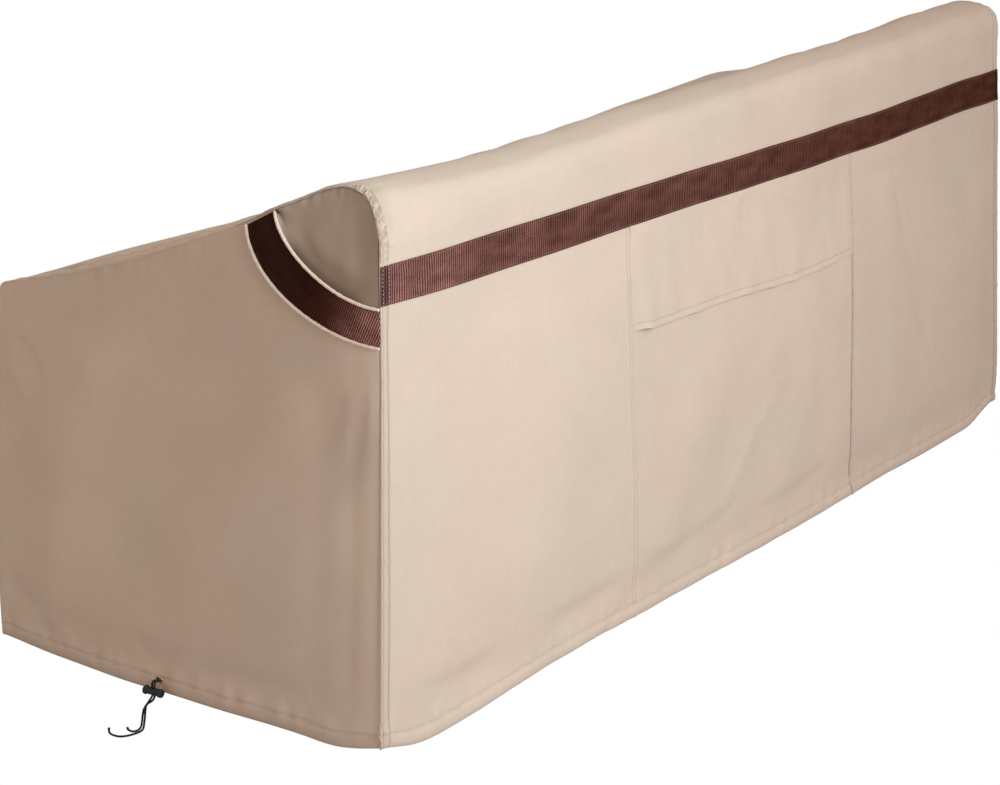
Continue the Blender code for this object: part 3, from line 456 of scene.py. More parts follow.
# rear wall: three panels under the band
rear = {
    "belly": 0.012, "top": 0.7388, "foldTop": 0.66, "spacing": 0.0085,
    "hem": mm([(-1100, 30), (-1000, 10), (-860, 2), (-600, 2), (-300, -3), (200, -2), (500, 0), (680, -1),
        (800, -8.5), (950, -12.5), (1030, -9), (1110, 12)]),
    "nearSeam": mm([(0, 382), (200, 391), (400, 402), (550, 399), (739, 391)]),
    "farSeam": mm([(0, -434), (80, -419), (200, -407), (450, -406), (600, -409), (739, -411)]),
    "folds": mm([(900, 580, 840, 60, 60, -2.8), (740, 600, 660, 50, 65, 3), (540, 520, 500, 60, 55, -2.4),
        (100, 400, 330, 70, 70, 3.2), (-100, 460, 220, 60, 60, -3), (-260, 450, -140, 70, 60, 2.8),
        (-560, 620, -600, 160, 50, 3), (-670, 620, -740, 100, 55, -3), (-820, 660, -1000, 420, 60, -2.8),
        (-860, 360, -970, 50, 60, 3.6)]),
    "creases": mm([(1045, 705, 1015, 570, 6, 12, 7, -3), (985, 705, 1004, 600, 0, 10, 14, -1.8),
        (1020, 85, 810, 75, 8, 30, 14, -3.5), (650, 80, 430, 85, 6, 26, 12, -3.5),
        (350, 85, 10, 120, 12, 30, 14, -3.8), (-50, 80, -330, 100, 8, 26, 12, -3.2),
        (500, 0, 400, 50, 4, 10, 6, -2.2), (90, 0, 50, 60, 2, 10, 6, -2),
        (100, 120, -140, 330, -10, 22, 10, 2.2), (-595, 640, -690, 400, 6, 20, 10, -2.2),
        (-634, 385, -845, 90, 10, 24, 12, 2.6), (-430, 652, -920, 680, 10, 18, 10, -1.4),
        (1000, 400, 1005, 120, 4, 14, 22, -1.8), (950, 220, 955, 90, 0, 12, 18, 1.6),
        (785, 400, 780, 100, -4, 20, 12, -1.6)]),
}


def rearSurface(x, z):
    push = wallPush(rear, x, z, rear["foldTop"], cornerX(z) - np.abs(x))
    return np.stack([x, rearCornerY(z) + push + bandWave(x, z), hemHeight(z, along(rear["hem"], x))], -1)


def rearPanel(word, left, right, seams, seed, tone):
    z = steps(closeHem, 0.0, rear["top"], rear["spacing"], False)[:, None]
    width = float(left(0.3) - right(0.3))
    share = (steps(close, 0.0, width, rear["spacing"]) / width)[None, :]
    x = left(z) + (right(z) - left(z)) * share
    z = z + 0 * x
    detail = casing(z, x, seed) + 0.0005 * ripple(seed + 1, x, 0.15, z, 0.3) * within(share, 40)
    shade = hemShade(z) + tone
    for distance, seam, own in ((share * width, seams[0], seed + 2), ((1 - share) * width, seams[1], seed + 3)):
        if seam:
            detail = detail + felled(distance, z, own, seam)
            shade = shade + felledShade(distance, seam)
        else:
            detail = detail - 0.0006 * hump(distance, 0.0, 0.002)
            detail = detail + 0.0004 * ripple(own, z, 0.02, count=8) * hump(distance, 0.008, 0.008)
            shade = shade + 0.16 * hump(distance, 0.0, 0.0014)
    outer, normal = pushed(rearSurface(x, z), detail * smooth((0.705 - z) / 0.02), (0, 1, 0))
    doubled = smooth((0.026 - z) / 0.003) * smooth(np.minimum(share, 1 - share) * width / 0.01)
    obj = sewn("rear" + word, "rear_panel_" + word.lower(), outer, normal, 0.0013 + 0.001 * doubled, shade)
    stitchHem(z, outer, normal)
    for seam, way in ((seams[0], 1), (seams[1], -1)):
        stitchSeams(outer, normal, slice(nearest(z[:, 0], cover["seamStart"]), -4), seamColumns(seam, way))
    return obj


def seamEdge(seam, side):  # a panel's edge along an upright seam
    return lambda z: along(rear[seam], z) + side * halfGap


rearPanels = (("Near", 0.76, cornerX, seamEdge("nearSeam", 1), (wide, narrow), 11, 0.0),
              ("Centre", 0.84, seamEdge("nearSeam", -1), seamEdge("farSeam", 1), (None, None), 21, 0.0),
              ("Far", 0.70, seamEdge("farSeam", -1), lambda z: -cornerX(z), (pressed, wide), 31, 0.02))
for word, width, *given in rearPanels:
    rearPanel(word, *given)
print("stage: rear panels")


# crown panel, over the top of the back
crown = {
    "joinY": -0.235, "drop": 0.062, "crownY": -0.083, "sag": 0.016, "spacing": 0.0165, "seamStart": 0.04,
    "bulgeY": -0.212, "bandTop": (0.7392, 0.782), "gathered": (0.044, 0.186),
    "nearRoll": (0.003, 0.03), "farRoll": (0.004, 0.019), "topRoll": (0.023, 0.075),
    "heights": mm([(-1100, 919), (-970, 917.2), (-860, 914.3), (-780, 910.2), (-690, 904.4), (-610, 902.4),
        (-540, 901.2), (-360, 899), (-260, 897.5), (-160, 894), (-80, 892.2), (20, 891.8), (90, 891.5),
        (150, 888), (220, 886.2), (300, 886.5), (380, 883.8), (460, 880.2), (620, 876.8), (720, 875.2),
        (810, 876.5), (920, 881), (1100, 888)]),
    "rows": mm([(0, 66, -0.5, 72, 10, 10), (-1.5, 44, -7, 52, 13, 9), (-6, 27, -16, 36, 18, 8),
        (-18, 12.5, -30, 15.5, 23, 8), (-45, 3.5, -53, 3, 26, 9), (-83, 0, -83, 0, 26, 10),
        (-118, 9, -118, 9, 21, 12), (-155, 26, -155, 26, 12, 9), (-195, 43, -195, 43, 0, 0),
        (-234.8, 62, -234.8, 62, 0, 0)]),
    "bulges": mm([(150, 100, 10), (-50, 130, 12.5), (-220, 120, 16)]),
    "creases": mm([(300, 130, 100, 150, 4, 30, 18, -1.4), (-450, 90, -620, 150, 4, 30, 18, -1.4),
        (860, 140, 980, 100, 3, 30, 15, -1.6), (-1020, 160, -1060, 50, 4, 14, 20, -2.2)]),
}


def crownHeight(x):
    return along(crown["heights"], x)


def crownRoll(x, distance):
    return np.where(x > 0, rollDown(*crown["nearRoll"], distance), rollDown(*crown["farRoll"], distance))


def bulge(x, y):
    back = ((y - crown["bulgeY"]) / np.where(y > crown["bulgeY"], 0.045, 0.08)) ** 2
    return sum(rise * np.exp(-((x - spot) / size) ** 2 - back) for spot, size, rise in crown["bulges"])


def crownLines(share):  # the crown's own rows, each at every place along the cover
    share = np.asarray(share, float)
    x = cover["cornerX"] * (2 * share - 1)
    lines = [np.stack([x, 0 * x, z + 0 * x], -1) for z in crown["bandTop"]]
    for bodyY, bodyBelow, nearY, nearBelow, near, far in crown["rows"]:
        low, high = -cover["endX"] + far, cover["endX"] - near
        x = low + (high - low) * share
        slump = smooth((x - 0.88) / 0.19)
        y, below = bodyY + (nearY - bodyY) * slump, bodyBelow + (nearBelow - bodyBelow) * slump
        rolled = smooth((0.072 - below) / 0.05) if bodyY > crown["crownY"] else 1.0
        z = crownHeight(x) - below - crownRoll(x, np.where(x > 0, high, -low) - np.abs(x)) * rolled
        lines.append(np.stack([x, y, z + bulge(x, y) * smooth((-y - 0.11) / 0.07)], -1))
    return np.stack(lines)


def sectionKnots(lines):
    return lengthsAlong(lines[:, lines.shape[1] // 2])


def gathers(length, distance, seed):  # short slanting pleats where the crown is eased onto the end's seam
    dice = random.Random(seed)
    heap = np.zeros(np.broadcast(length, distance).shape)
    spot, stopAt = crown["gathered"]
    while spot < stopAt:
        lean, size, deep = dice.uniform(0.15, 1.05), dice.uniform(0.0015, 0.0027), dice.uniform(0.45, 1.35)
        deep = deep * smooth((spot - 0.03) / 0.03) * smooth((0.196 - spot) / 0.03)
        stop = dice.choice([0.015, 0.019, 0.022, 0.034])
        reach = smooth(distance / 0.003) * smooth((stop - distance) / 0.007)
        heap = heap + deep * hump(length - lean * distance, spot, size) * reach
        spot += dice.uniform(0.0046, 0.0092)
    return heap


def crownPanel():
    share = steps(np.append(close, mm([44, 56])) / crownSpan, 0.0, 1.0, crown["spacing"] / crownSpan)
    lines = crownLines(share)
    knots = sectionKnots(lines)
    at = np.concatenate([[0.0, 0.001, 0.0025], np.arange(0.005, 0.046, 0.004), np.arange(0.047, 0.192, 0.0013),
                         np.arange(0.194, knots[-1] - 0.003, 0.0045), [knots[-1]]])
    outer = through(knots, lines, at)
    x, y, z = outer[..., 0], outer[..., 1], outer[..., 2]
    length = at[:, None] + 0 * x
    fromNear, fromFar = (1 - share[None, :]) * crownSpan, share[None, :] * crownSpan
    inside = smooth((length - 0.05) / 0.05) * smooth(fromNear / 0.02) * smooth(fromFar / 0.02)
    detail = 0.0008 * ripple(41, x, 0.16, length, 0.3) * inside + creasePush(crown["creases"], x, length)
    seam = smooth((length - 0.036) / 0.004)
    behind = smooth((-0.145 - y) / 0.03) * smooth((0.26 + y) / 0.03) * smooth((x + 0.54) / 0.18)
    shade = behind * (0.07 * smooth((0.36 - x) / 0.12) + 0.11 * smooth((0.1 - x) / 0.16))
    for distance, seed, much in ((fromNear, 43, 1.0), (fromFar, 47, 0.15)):
        eased = gathers(length, distance, seed + 1) * much
        dented = hump(distance, 0.03, 0.012) * smooth((length - 0.07) / 0.05)
        dented = dented * smooth((0.23 - length) / 0.05) * much
        detail = detail + felled(distance, length, seed, wide) * seam + 0.0029 * eased - 0.0034 * dented
        ragged = 0.021 + 0.003 * ripple(seed + 2, length, 0.012, count=7)
        loose = smooth(distance / 0.003) * smooth((ragged - distance) / 0.005)
        loose = loose * smooth((length - 0.06) / 0.025) * smooth((0.196 - length) / 0.02)
        shade = shade + felledShade(distance, wide) * seam * (1 - 0.7 * loose) * (0.4 + 0.6 * much)
        shade = shade + much * (0.36 * loose * (1 - clamp(1.4 * eased)) + 0.12 * dented)
    outer[..., 1] += bandWave(x, z) * (length < 0.13)
    outer, normal = pushed(outer, detail, (0, 0, 1))
    obj = sewn("crown", "crown_panel", outer, normal, 0.0014 + 0 * x, shade)
    columns = seamColumns(wide, 1) + seamColumns(wide, -1)
    stitchSeams(outer, normal, slice(nearest(at, crown["seamStart"]), -2), columns)


crownPanel()
print("stage: crown")


# top panel, sloping down to the front, with its rounded front edge
top = {
    "slump": 0.39, "perk": 0.006, "spacing": 0.011, "edgeStitch": 0.0106,
    "puckers": mm([(20, 11, -650, 30), (18, 8, -716, 22)]),
    "folds": mm([(960, -300, 980, -720, 75, 9), (-960, -300, -980, -720, 75, 9),
        (620, -270, 720, -700, 60, -7), (360, -270, 300, -700, 70, 8), (-20, -280, 20, -680, 70, -8),
        (-340, -270, -380, -700, 70, 8), (-660, -280, -720, -700, 60, -6)]),
    "creases": mm([(800, -300, 840, -620, 15, 16, 30, 3), (480, -300, 460, -660, -12, 30, 14, -3),
        (140, -340, 200, -700, 10, 14, 28, 2.6), (-200, -300, -160, -640, 14, 28, 14, -2.8),
        (-520, -300, -560, -680, -10, 14, 26, 2.8), (-840, -320, -860, -660, 12, 26, 13, -2.6)]),
}


def topSurface(y, share):
    x = cover["endX"] * (2 * share - 1) + 0 * y
    up = clamp((y + cover["depth"]) / (crown["joinY"] + cover["depth"]))
    join = crownHeight(x) - crown["drop"]
    z = cover["frontHeight"] + (join - cover["frontHeight"]) * (up - top["slump"] * up * (1 - up))
    swell, edge = np.sin(np.pi * up), cover["endX"] - np.abs(x)
    z = z + crown["topRoll"][0] * swell - rollDown(*crown["topRoll"], edge) * swell
    z = z - crownRoll(x, edge) * smooth((up - 0.7) / 0.3) - crown["sag"] * swell * smooth(edge / 0.2)
    z = z + top["perk"] * hump(y, -0.72, 0.14) * (1 - clamp(edge / 0.075)) ** 2
    z = z + (foldPush(top["folds"], x, y) + creasePush(top["creases"], x, y)) * swell * smooth(edge / 0.1)
    return np.stack([x, y + 0 * x, z + bulge(x, y) * smooth((edge - 0.1) / 0.2)], -1)


def frontRows(share, count=8):  # the rounded edge, and the short drop to the front panel's seam
    flatY, radius = -cover["depth"] + cover["frontRound"], cover["frontRound"]
    start = topSurface(np.array([[flatY]]), share[None, :])[0]
    rows = []
    for step in range(1, count + 1):
        turn = math.radians(90 * step / count)
        row = start.copy()
        row[:, 1] = flatY - radius * math.sin(turn)
        row[:, 2] = start[:, 2] - radius * (1 - math.cos(turn))
        rows.append(row)
    last = rows[-1].copy()
    last[:, 2] = cover["flareTop"] + halfGap
    return np.stack([*rows, rows[-1] * 0.5 + last * 0.5, last])


def topPanel():
    share = steps(close / span, 0.0, 1.0, top["spacing"] / span)
    y = np.concatenate([[-0.2352, -0.2362, -0.238], np.arange(-0.2415, -0.772, -0.0105), [-0.775]])[:, None]
    outer = np.concatenate([topSurface(y, share[None, :]), frontRows(share)])
    x, depth, z = outer[..., 0], outer[..., 1], outer[..., 2]
    fromEnd = np.minimum(share, 1 - share)[None, :] * span
    sewnLine = hump(fromEnd, top["edgeStitch"], 0.0014)
    soft = smooth(fromEnd / 0.03) * smooth((-0.24 - depth) / 0.02) * smooth((z - 0.602) / 0.01)
    detail = 0.0008 * ripple(51, x, 0.15, depth, 0.2) * soft
    eased = ripple(53, depth + 0.3 * x, 0.03, count=9) * hump(fromEnd, 0.011, 0.01)
    eased = eased * smooth((depth + 0.77) / 0.03)
    pinched = sum(hump(fromEnd, inward, size) * hump(depth, spot, reach)
                  for inward, size, spot, reach in top["puckers"])
    detail = detail + 0.0012 * eased - 0.0008 * sewnLine - 0.005 * pinched
    outer, normal = pushed(outer, detail, (0, 0, 1))
    obj = sewn("top", "top_panel", outer, normal, 0.0014 + 0 * x, 0.08 * sewnLine + 0.34 * pinched)
    stitchSeams(outer, normal, slice(2, -2), (8, -9))


topPanel()


# front wall
front = {
    "belly": 0.01, "spacing": 0.011,
    "hem": mm([(-1100, 20), (-900, 2), (-300, -4), (350, -2), (920, 3), (1100, 19)]),
    "folds": mm([(850, 520, 800, 60, 60, 4.5), (520, 500, 600, 50, 55, -4.5), (100, 520, 220, 60, 65, 5),
        (-200, 500, -120, 60, 55, -4.5), (-550, 520, -620, 60, 60, 4.5), (-880, 500, -800, 50, 55, -4)]),
    "creases": mm([(950, 90, 720, 80, 8, 28, 13, -3.5), (450, 80, 200, 90, 8, 28, 13, -3.5),
        (-100, 85, -400, 80, 8, 28, 13, -3.5), (-620, 80, -900, 90, 8, 28, 13, -3.2),
        (300, 500, 240, 140, 10, 22, 12, 2.4), (-400, 520, -340, 160, 10, 12, 22, 2.4),
        (980, 560, 900, 300, 8, 14, 26, -2.4), (-990, 560, -930, 300, 8, 14, 26, -2.4)]),
}


def frontPanel():
    share = steps(close / span, 0.0, 1.0, front["spacing"] / span)[None, :]
    z = steps(closeHem, 0.0, cover["flareTop"] - halfGap, 0.01, False)[:, None]
    x = (cover["endX"] + flare(cover["endFlare"], z) - tuck(z)) * (2 * share - 1)
    z = z + 0 * x
    push = wallPush(front, x, z, cover["flareTop"], cornerX(z) - np.abs(x))
    outer = np.stack([x, frontCornerY(z) - push, hemHeight(z, along(front["hem"], x))], -1)
    detail = (casing(z, x, 61) + 0.0007 * ripple(62, x, 0.1, z, 0.26)) * within(share, 40)
    shade = hemShade(z)
    for distance, seed in ((share * span, 63), ((1 - share) * span, 64)):
        detail, shade = detail + felled(distance, z, seed, wide), shade + felledShade(distance, wide)
    outer, normal = pushed(outer, detail * smooth((0.598 - z) / 0.02), (0, -1, 0))
    obj = sewn("front", "front_panel", outer, normal, hemThickness(z), shade)
    stitchHem(z, outer, normal)
    columns = seamColumns(wide, 1) + seamColumns(wide, -1)
    stitchSeams(outer, normal, slice(nearest(z[:, 0], cover["seamStart"]), -3), columns)


frontPanel()
print("stage: top and front")


# end panels, gussets, arc bands and pipings
end = {
    "belly": 0.006, "cornerReach": 0.065, "cornerPower": 1.7, "ribLean": -25, "ribCrowd": 1.5,
    "upperArc": (0.193, 0.838, 0.1285, 1.68), "lowerArc": (0.252, 0.81, 0.16, 1.86),
    "nearHem": mm([(-800, 19), (-700, 12), (-550, 3), (-400, 0), (-150, -2), (-70, -4), (10, 12)]),
    "farHem": mm([(-800, 20), (-620, 4), (-350, -2), (-120, 6), (10, 30)]),
    "folds": mm([(-290, 600, -520, 280, 70, -4.5), (-180, 560, -360, 200, 60, 3.5),
        (-600, 520, -700, 140, 50, 3.5), (-100, 540, -120, 100, 35, -3)]),
    "creases": mm([(-52, 500, -55, 100, 2, 18, 30, -2.6), (-780, 120, -680, 35, 4, 12, 20, -2.8),
        (-760, 75, -640, 45, 3, 10, 14, 2), (-765, 560, -690, 480, 4, 10, 18, -2),
        (-775, 500, -720, 430, 3, 10, 14, 1.4), (-460, 30, -500, 110, 3, 10, 14, -1.6),
        (-440, 30, -410, 100, -3, 14, 9, -1.4), (-220, 75, -360, 60, 4, 22, 12, -2.2),
        (-30, 578, -44, 460, 4, 6, 10, -2), (-52, 578, -72, 480, 4, 8, 10, 1.4)]),
}
margin = 0.0017  # from the long panels' outer face to the end panels' edges


def planX(y):  # the end's plan, which rounds in to the rear corner seam
    inset = (1 - clamp((-y - margin) / end["cornerReach"])) ** end["cornerPower"]
    return cover["endX"] - (cover["endX"] - cover["cornerX"]) * inset


def sleeveEnd(side):  # the inside of the crown and top at an end, from the band's seam to the front
    edge = np.array([1.0 if side > 0 else 0.0])
    knots = sectionKnots(crownLines(np.array([0.0, 0.5, 1.0])))
    fine = through(knots, crownLines(edge), np.linspace(0, knots[-1], 90))
    y = np.linspace(-0.2352, -0.775, 60)[:, None]
    points = np.concatenate([fine, topSurface(y, edge[None, :]), frontRows(edge)])[:, 0, 1:]
    runs = np.gradient(points, axis=0)
    runs /= np.maximum(np.linalg.norm(runs, axis=1, keepdims=True), 1e-9)
    moved = points + np.stack([-runs[:, 1], runs[:, 0]], -1) * margin
    order = np.argsort(moved[:, 0])
    return moved[order, 0], moved[order, 1]


def arcZ(arc, y):
    reach, peak, drop, power = arc
    across = clamp(-y / reach) ** power
    return peak - drop * (1 - across) ** (1 / power)


def flatEdges(z):  # the end panel's front and rear edges at a height
    return frontCornerY(z) + margin, rearCornerY(z) - margin


def endPush(flatY, z, wall=end):  # how far the end stands out at a height
    low, high = flatEdges(z)
    push = wallPush(wall, flatY, z, cover["flareTop"], np.minimum(flatY - low, high - flatY))
    return flare(cover["endFlare"], z) - tuck(z) + push


def endBase(y, rise, edge, hem, frontY, rearY):  # rise: 0 hem, 1 flare top, 2 the panel's upper edge
    z = clamp(rise) * cover["flareTop"]
    low, high = flatEdges(z)
    flatY = low + (high - low) * (y - frontY) / (rearY - frontY)
    peak = np.interp(y, *edge) + 0.0016 * smooth((-0.25 - y) / 0.05)
    peak = np.where(y >= -end["upperArc"][0], np.minimum(arcZ(end["upperArc"], y), peak), peak)
    height = hemHeight(z, along(hem, flatY)) + (peak - cover["flareTop"]) * clamp(rise - 1)
    return np.stack([planX(y) + endPush(flatY, z), np.where(rise > 1, y, flatY), height], -1)


def mirrored(side, *grids):  # the far end is the near one turned over
    for grid in grids:
        grid[..., 0] *= side


def endPanel(word, side, hem, seed):
    edge = sleeveEnd(side)
    rearY, frontY = -margin, -cover["depth"] + margin
    y = steps(close, frontY, rearY, 0.008)[None, :]
    low = steps(closeHem, 0.0, cover["flareTop"], 0.009, False) / cover["flareTop"]
    high = 1 + np.concatenate([np.linspace(0.04, 0.95, 22), [0.97, 0.985, 1.0]])
    rise = np.concatenate([low, high])[:, None] + 0 * y
    y = y + 0 * rise
    outer = endBase(y, rise, edge, hem, frontY, rearY)
    z = clamp(rise) * cover["flareTop"]
    inside = smooth((y - frontY) / 0.02) * smooth((rearY - y) / 0.02) * smooth((2 - rise) / 0.12)
    detail = casing(z, y, seed) + 0.0005 * ripple(seed + 1, y, 0.2, outer[..., 2], 0.24) * inside
    detail = detail - 0.0006 * hump(rearY - y, 0.0, 0.002)
    detail = detail + 0.0009 * smooth((rise - 1.93) / 0.06) * smooth((-0.25 - y) / 0.05)
    pleats = 0.0012 * ripple(seed + 3, y, 0.026, count=9) * smooth((-0.3 - y) / 0.1)
    detail = detail + pleats * np.exp(-clamp(2 - rise, 0, 2) / 0.16) * smooth((2 - rise) / 0.05)
    outer, normal = pushed(outer, detail, (1, 0, 0))
    mirrored(side, outer, normal)
    # painted light in a strip beside the rear corner seam, taken off the shade below; painted shade along the
    # hem and in the seam's gap
    corner = smooth((y + 0.085 + 0.018 * ripple(79, z, 0.22, count=7)) / 0.07)
    shade = hemShade(z, 0.16) + 0.14 * smooth((cover["hemLine"] - z) / 0.004)
    shade = shade + 0.5 * hump(rearY - y, 0.0, 0.0016) - 0.15 * corner
    obj = sewn("end" + word, "end_panel_" + word.lower(), outer, normal, hemThickness(z), shade)
    stitchHem(z, outer, normal)


def gussetPanel(word, side, seed):
    y = np.concatenate([np.linspace(-0.203, -0.01, 56), np.linspace(-0.009, -margin, 8)])[None, :]
    base = arcZ(end["upperArc"], y) - 0.008
    tall = np.interp(y, *sleeveEnd(side)) - base
    insets = crown["rows"][::-1, [2, 4] if side > 0 else [0, 5]]
    baseX = planX(y) - margin
    topX = np.minimum(cover["endX"] - np.interp(y, insets[:, 0], insets[:, 1]), baseX)
    rise = np.concatenate([np.linspace(0, 0.94, 34), [0.965, 0.985, 1.0]])[:, None] + 0 * y
    up = rise * tall
    back, belly = smooth((-y - margin) / 0.05), np.sin(np.pi * rise)
    x = baseX + (topX - baseX) * rise - 0.007 * belly * back + 0.0055 * hump(y, -0.085, 0.045) * belly ** 1.5
    x = x - 0.007 * hump(up, 0.022, 0.02) * smooth((y + 0.17) / 0.05) * back * smooth(up / 0.008)
    x = x + 0.0012 * ripple(seed, y, 0.07, up, 0.16) * belly * back
    x = x + 0.0008 * ripple(seed + 1, y, 0.018, count=9) * hump(up, tall, 0.01) * smooth((1 - rise) * 40)
    outer, normal = pushed(np.stack([x, y + 0 * rise, base + up], -1), 0 * rise, (1, 0, 0))
    mirrored(side, outer, normal)
    deep = smooth((-y - 0.012) / 0.045) * smooth((0.185 + y) / 0.03)
    recess = np.exp(-(clamp(up - 0.008) / (0.005 + 0.011 * deep)) ** 1.3) * deep
    shade = 0.38 + 0.46 * recess + 0.5 * hump(-margin - y, 0.0, 0.0025) + 0.25 * hump(tall - up, 0.0, 0.0018)
    obj = sewn("gusset" + word, "gusset_" + word.lower(), outer, normal, 0.0013 + 0 * rise, shade)


endPanel("Near", 1, end["nearHem"], 71)
endPanel("Far", -1, end["farHem"], 81)
gussetPanel("Near", 1, 75)
gussetPanel("Far", -1, 85)
print("stage: ends")


# webbing: ribs run across it, and its edges are bound
band = {
    "edges": mm([(-1100, 711, 777), (-800, 709, 774), (-600, 704, 769), (-400, 702.5, 766.5),
        (-180, 703.5, 767), (260, 707, 770), (600, 707, 771), (950, 709, 772), (1100, 714, 774)]),
    "ribPitch": 0.0058, "ribHeight": 0.0005, "thickness": 0.0015, "lay": 0.0004, "width": 0.064,
    "inset": 0.0025, "columns": 1720, "arcColumns": 440,
    # painted light along the rear band: least at the far end, most at the near end
    "fade": [(-1.1, 0.03), (-0.5, 0.09), (0.1, 0.23), (0.6, 0.31), (0.85, 0.45), (1.0, 0.6), (1.1, 0.76)],
}

webSockets = {"Fade": "Float", "Rib pitch": "Float", "Rib color": "Color"}
webbing, webIn, webOut = lookGroup("webbingYarn", **webSockets)
split = add(webbing, "ShaderNodeSeparateXYZ", [webIn["Metres"]])
ribTurn = ("MULTIPLY", ("DIVIDE", split, webIn["Rib pitch"]), math.tau)
rib = maths(webbing, "MULTIPLY_ADD", ("SINE", ribTurn), 0.5, 0.5)
yarn = threads(webbing, webIn["Metres"], 1, 0.0013)
fuzz = noise(webbing, webIn["Place"], 700.0)
wearAndSheen = noise(webbing, webIn["Place"], 26.0, 3.0, 0.6)
patch = noise(webbing, webIn["Place"], 4.0)
# rib tops mix toward the rib colour: partly the yarn's lighter tone, partly a painted highlight where the ribs
# catch the light; the noise makes it patchy, as wear and uneven sheen
lightRib = maths(webbing, "ADD", ("MULTIPLY", rib, ("ADD", ("MULTIPLY", wearAndSheen, 1.1), 0.25)),
                 ("MULTIPLY", ("SUBTRACT", fuzz, 0.5), 1.3))
# the lighting attribute moves each yarn colour from a darker copy to a lighter one: painted light and shade
# along the webbing
deepColor = mixColor(webbing, webIn["Fade"], (0.019, 0.004, 0.002), webIn["Color"])
highColor = mixColor(webbing, webIn["Fade"], (0.13, 0.034, 0.015), webIn["Rib color"])
ribColor = mixColor(webbing, lightRib, deepColor, highColor)
patched = mixColor(webbing, maths(webbing, "MULTIPLY", patch, 0.3), ribColor, deepColor)
fill(webbing, webOut["Color"], scaled(webbing, patched, maths(webbing, "SUBTRACT", 1.0, webIn["Shade"])))
fill(webbing, webOut["Roughness"], maths(webbing, "ADD", ("MULTIPLY", fuzz, 0.2), 0.42))
fill(webbing, webOut["Height"], maths(webbing, "ADD", ("MULTIPLY", yarn, 0.3), ("MULTIPLY", fuzz, 0.5)))
# the rib colour is the lit rib tops' colour: part yarn tone, part painted highlight
ribLook = {"Rib color": (0.68, 0.31, 0.26), "Rib pitch": band["ribPitch"]}
webbingLook = clothMaterial("ribbedWebbing", (0.034, 0.009, 0.007), webbing, 0.00025, specular=0.08, **ribLook)


def bandRow(x, share):
    low, high = along(band["edges"][:, [0, 1]], x), along(band["edges"][:, [0, 2]], x)
    return low + (high - low) * share


def ribbed(length, across, width, seed):  # ribs, flatter at the bound edges
    fromEdge = np.minimum(across, width - across)
    wave = np.sin(math.tau * length / band["ribPitch"] + 0.5 * ripple(seed, across, 0.03, length, 0.09, 6))
    body = smooth((fromEdge - 0.0012) / 0.002)
    return band["ribHeight"] * wave * body - 0.0004 * hump(fromEdge, 0.003, 0.0009)


def rearBand():
    x = np.linspace(cover["cornerX"], -cover["cornerX"], band["columns"])[None, :]
    share = np.array([0.0, 0.02, 0.045, 0.09, 0.3, 0.5, 0.7, 0.91, 0.955, 0.98, 1.0])[:, None]
    z = bandRow(x, share)
    x = x + 0 * z
    length, lay = cover["cornerX"] - x, band["lay"] + bandWave(x, z)
    y = lay + band["thickness"] + ribbed(length, share * band["width"] + 0 * x, band["width"], 91)
    y = y + 0.0005 * ripple(92, x, 0.06, z, 0.05) * within(share, 8)
    y = y - 0.0005 * sum(hump(length, away, 0.001) for away in wide["lines"])
    outer, inner = np.stack([x, y, z], -1), np.stack([x, lay, z], -1)
    fold = smooth((wide["lines"][1] + 0.0008 - np.minimum(length, crownSpan - length)) / 0.0008)
    shade = 0.34 * fold + 0.2 * smooth((0.05 - length) / 0.03)
    obj = dressed(sheetMesh("bandRear", outer, inner, webbingLook, shade, length), "rear_band")
    # painted light, strongest towards the near end
    fade = along(band["fade"], x) * (0.9 + 0.1 * ripple(95, x, 0.16, z, 0.4))
    pointLayer(obj.data, "fade", np.tile(fade.ravel(), 2))
    normal = np.array([0.0, 1.0, 0.0])
    for row in (2, -3):
        stitchLine("stitchesBand", outer[row], normal)
    for away in wide["lines"]:
        stitchLine("stitchesBandEnd", outer[:, nearest(length[0], away)], normal)


def evenLine(line, count):  # the same line with its points evenly apart
    lengths = lengthsAlong(line)
    at = np.linspace(0, lengths[-1], count)
    return np.stack([np.interp(at, lengths, line[:, axis]) for axis in range(3)], -1)


def arcLine(arc, away, inset, count):  # along an arc, away from the panel's face and inside its edge
    y = -arc[0] + (arc[0] - 0.0005) * (1 - (1 - np.linspace(0, 1, count)) ** 1.25)
    y[-1] = -0.0005
    plan = np.stack([planX(y), y], -1)
    run = np.gradient(plan, axis=0)
    run /= np.linalg.norm(run, axis=1, keepdims=True)
    out = np.stack([run[:, 1], -run[:, 0]], -1)
    out *= np.sign(out[:1, :1])
    slope = np.gradient(np.stack([y, arcZ(arc, y)], -1), axis=0)
    slope /= np.linalg.norm(slope, axis=1, keepdims=True)
    line = np.concatenate([plan + out * away, arcZ(arc, y)[:, None]], -1)
    line[:, 1] -= slope[:, 1] * inset
    line[:, 2] += slope[:, 0] * inset
    return evenLine(line, count)


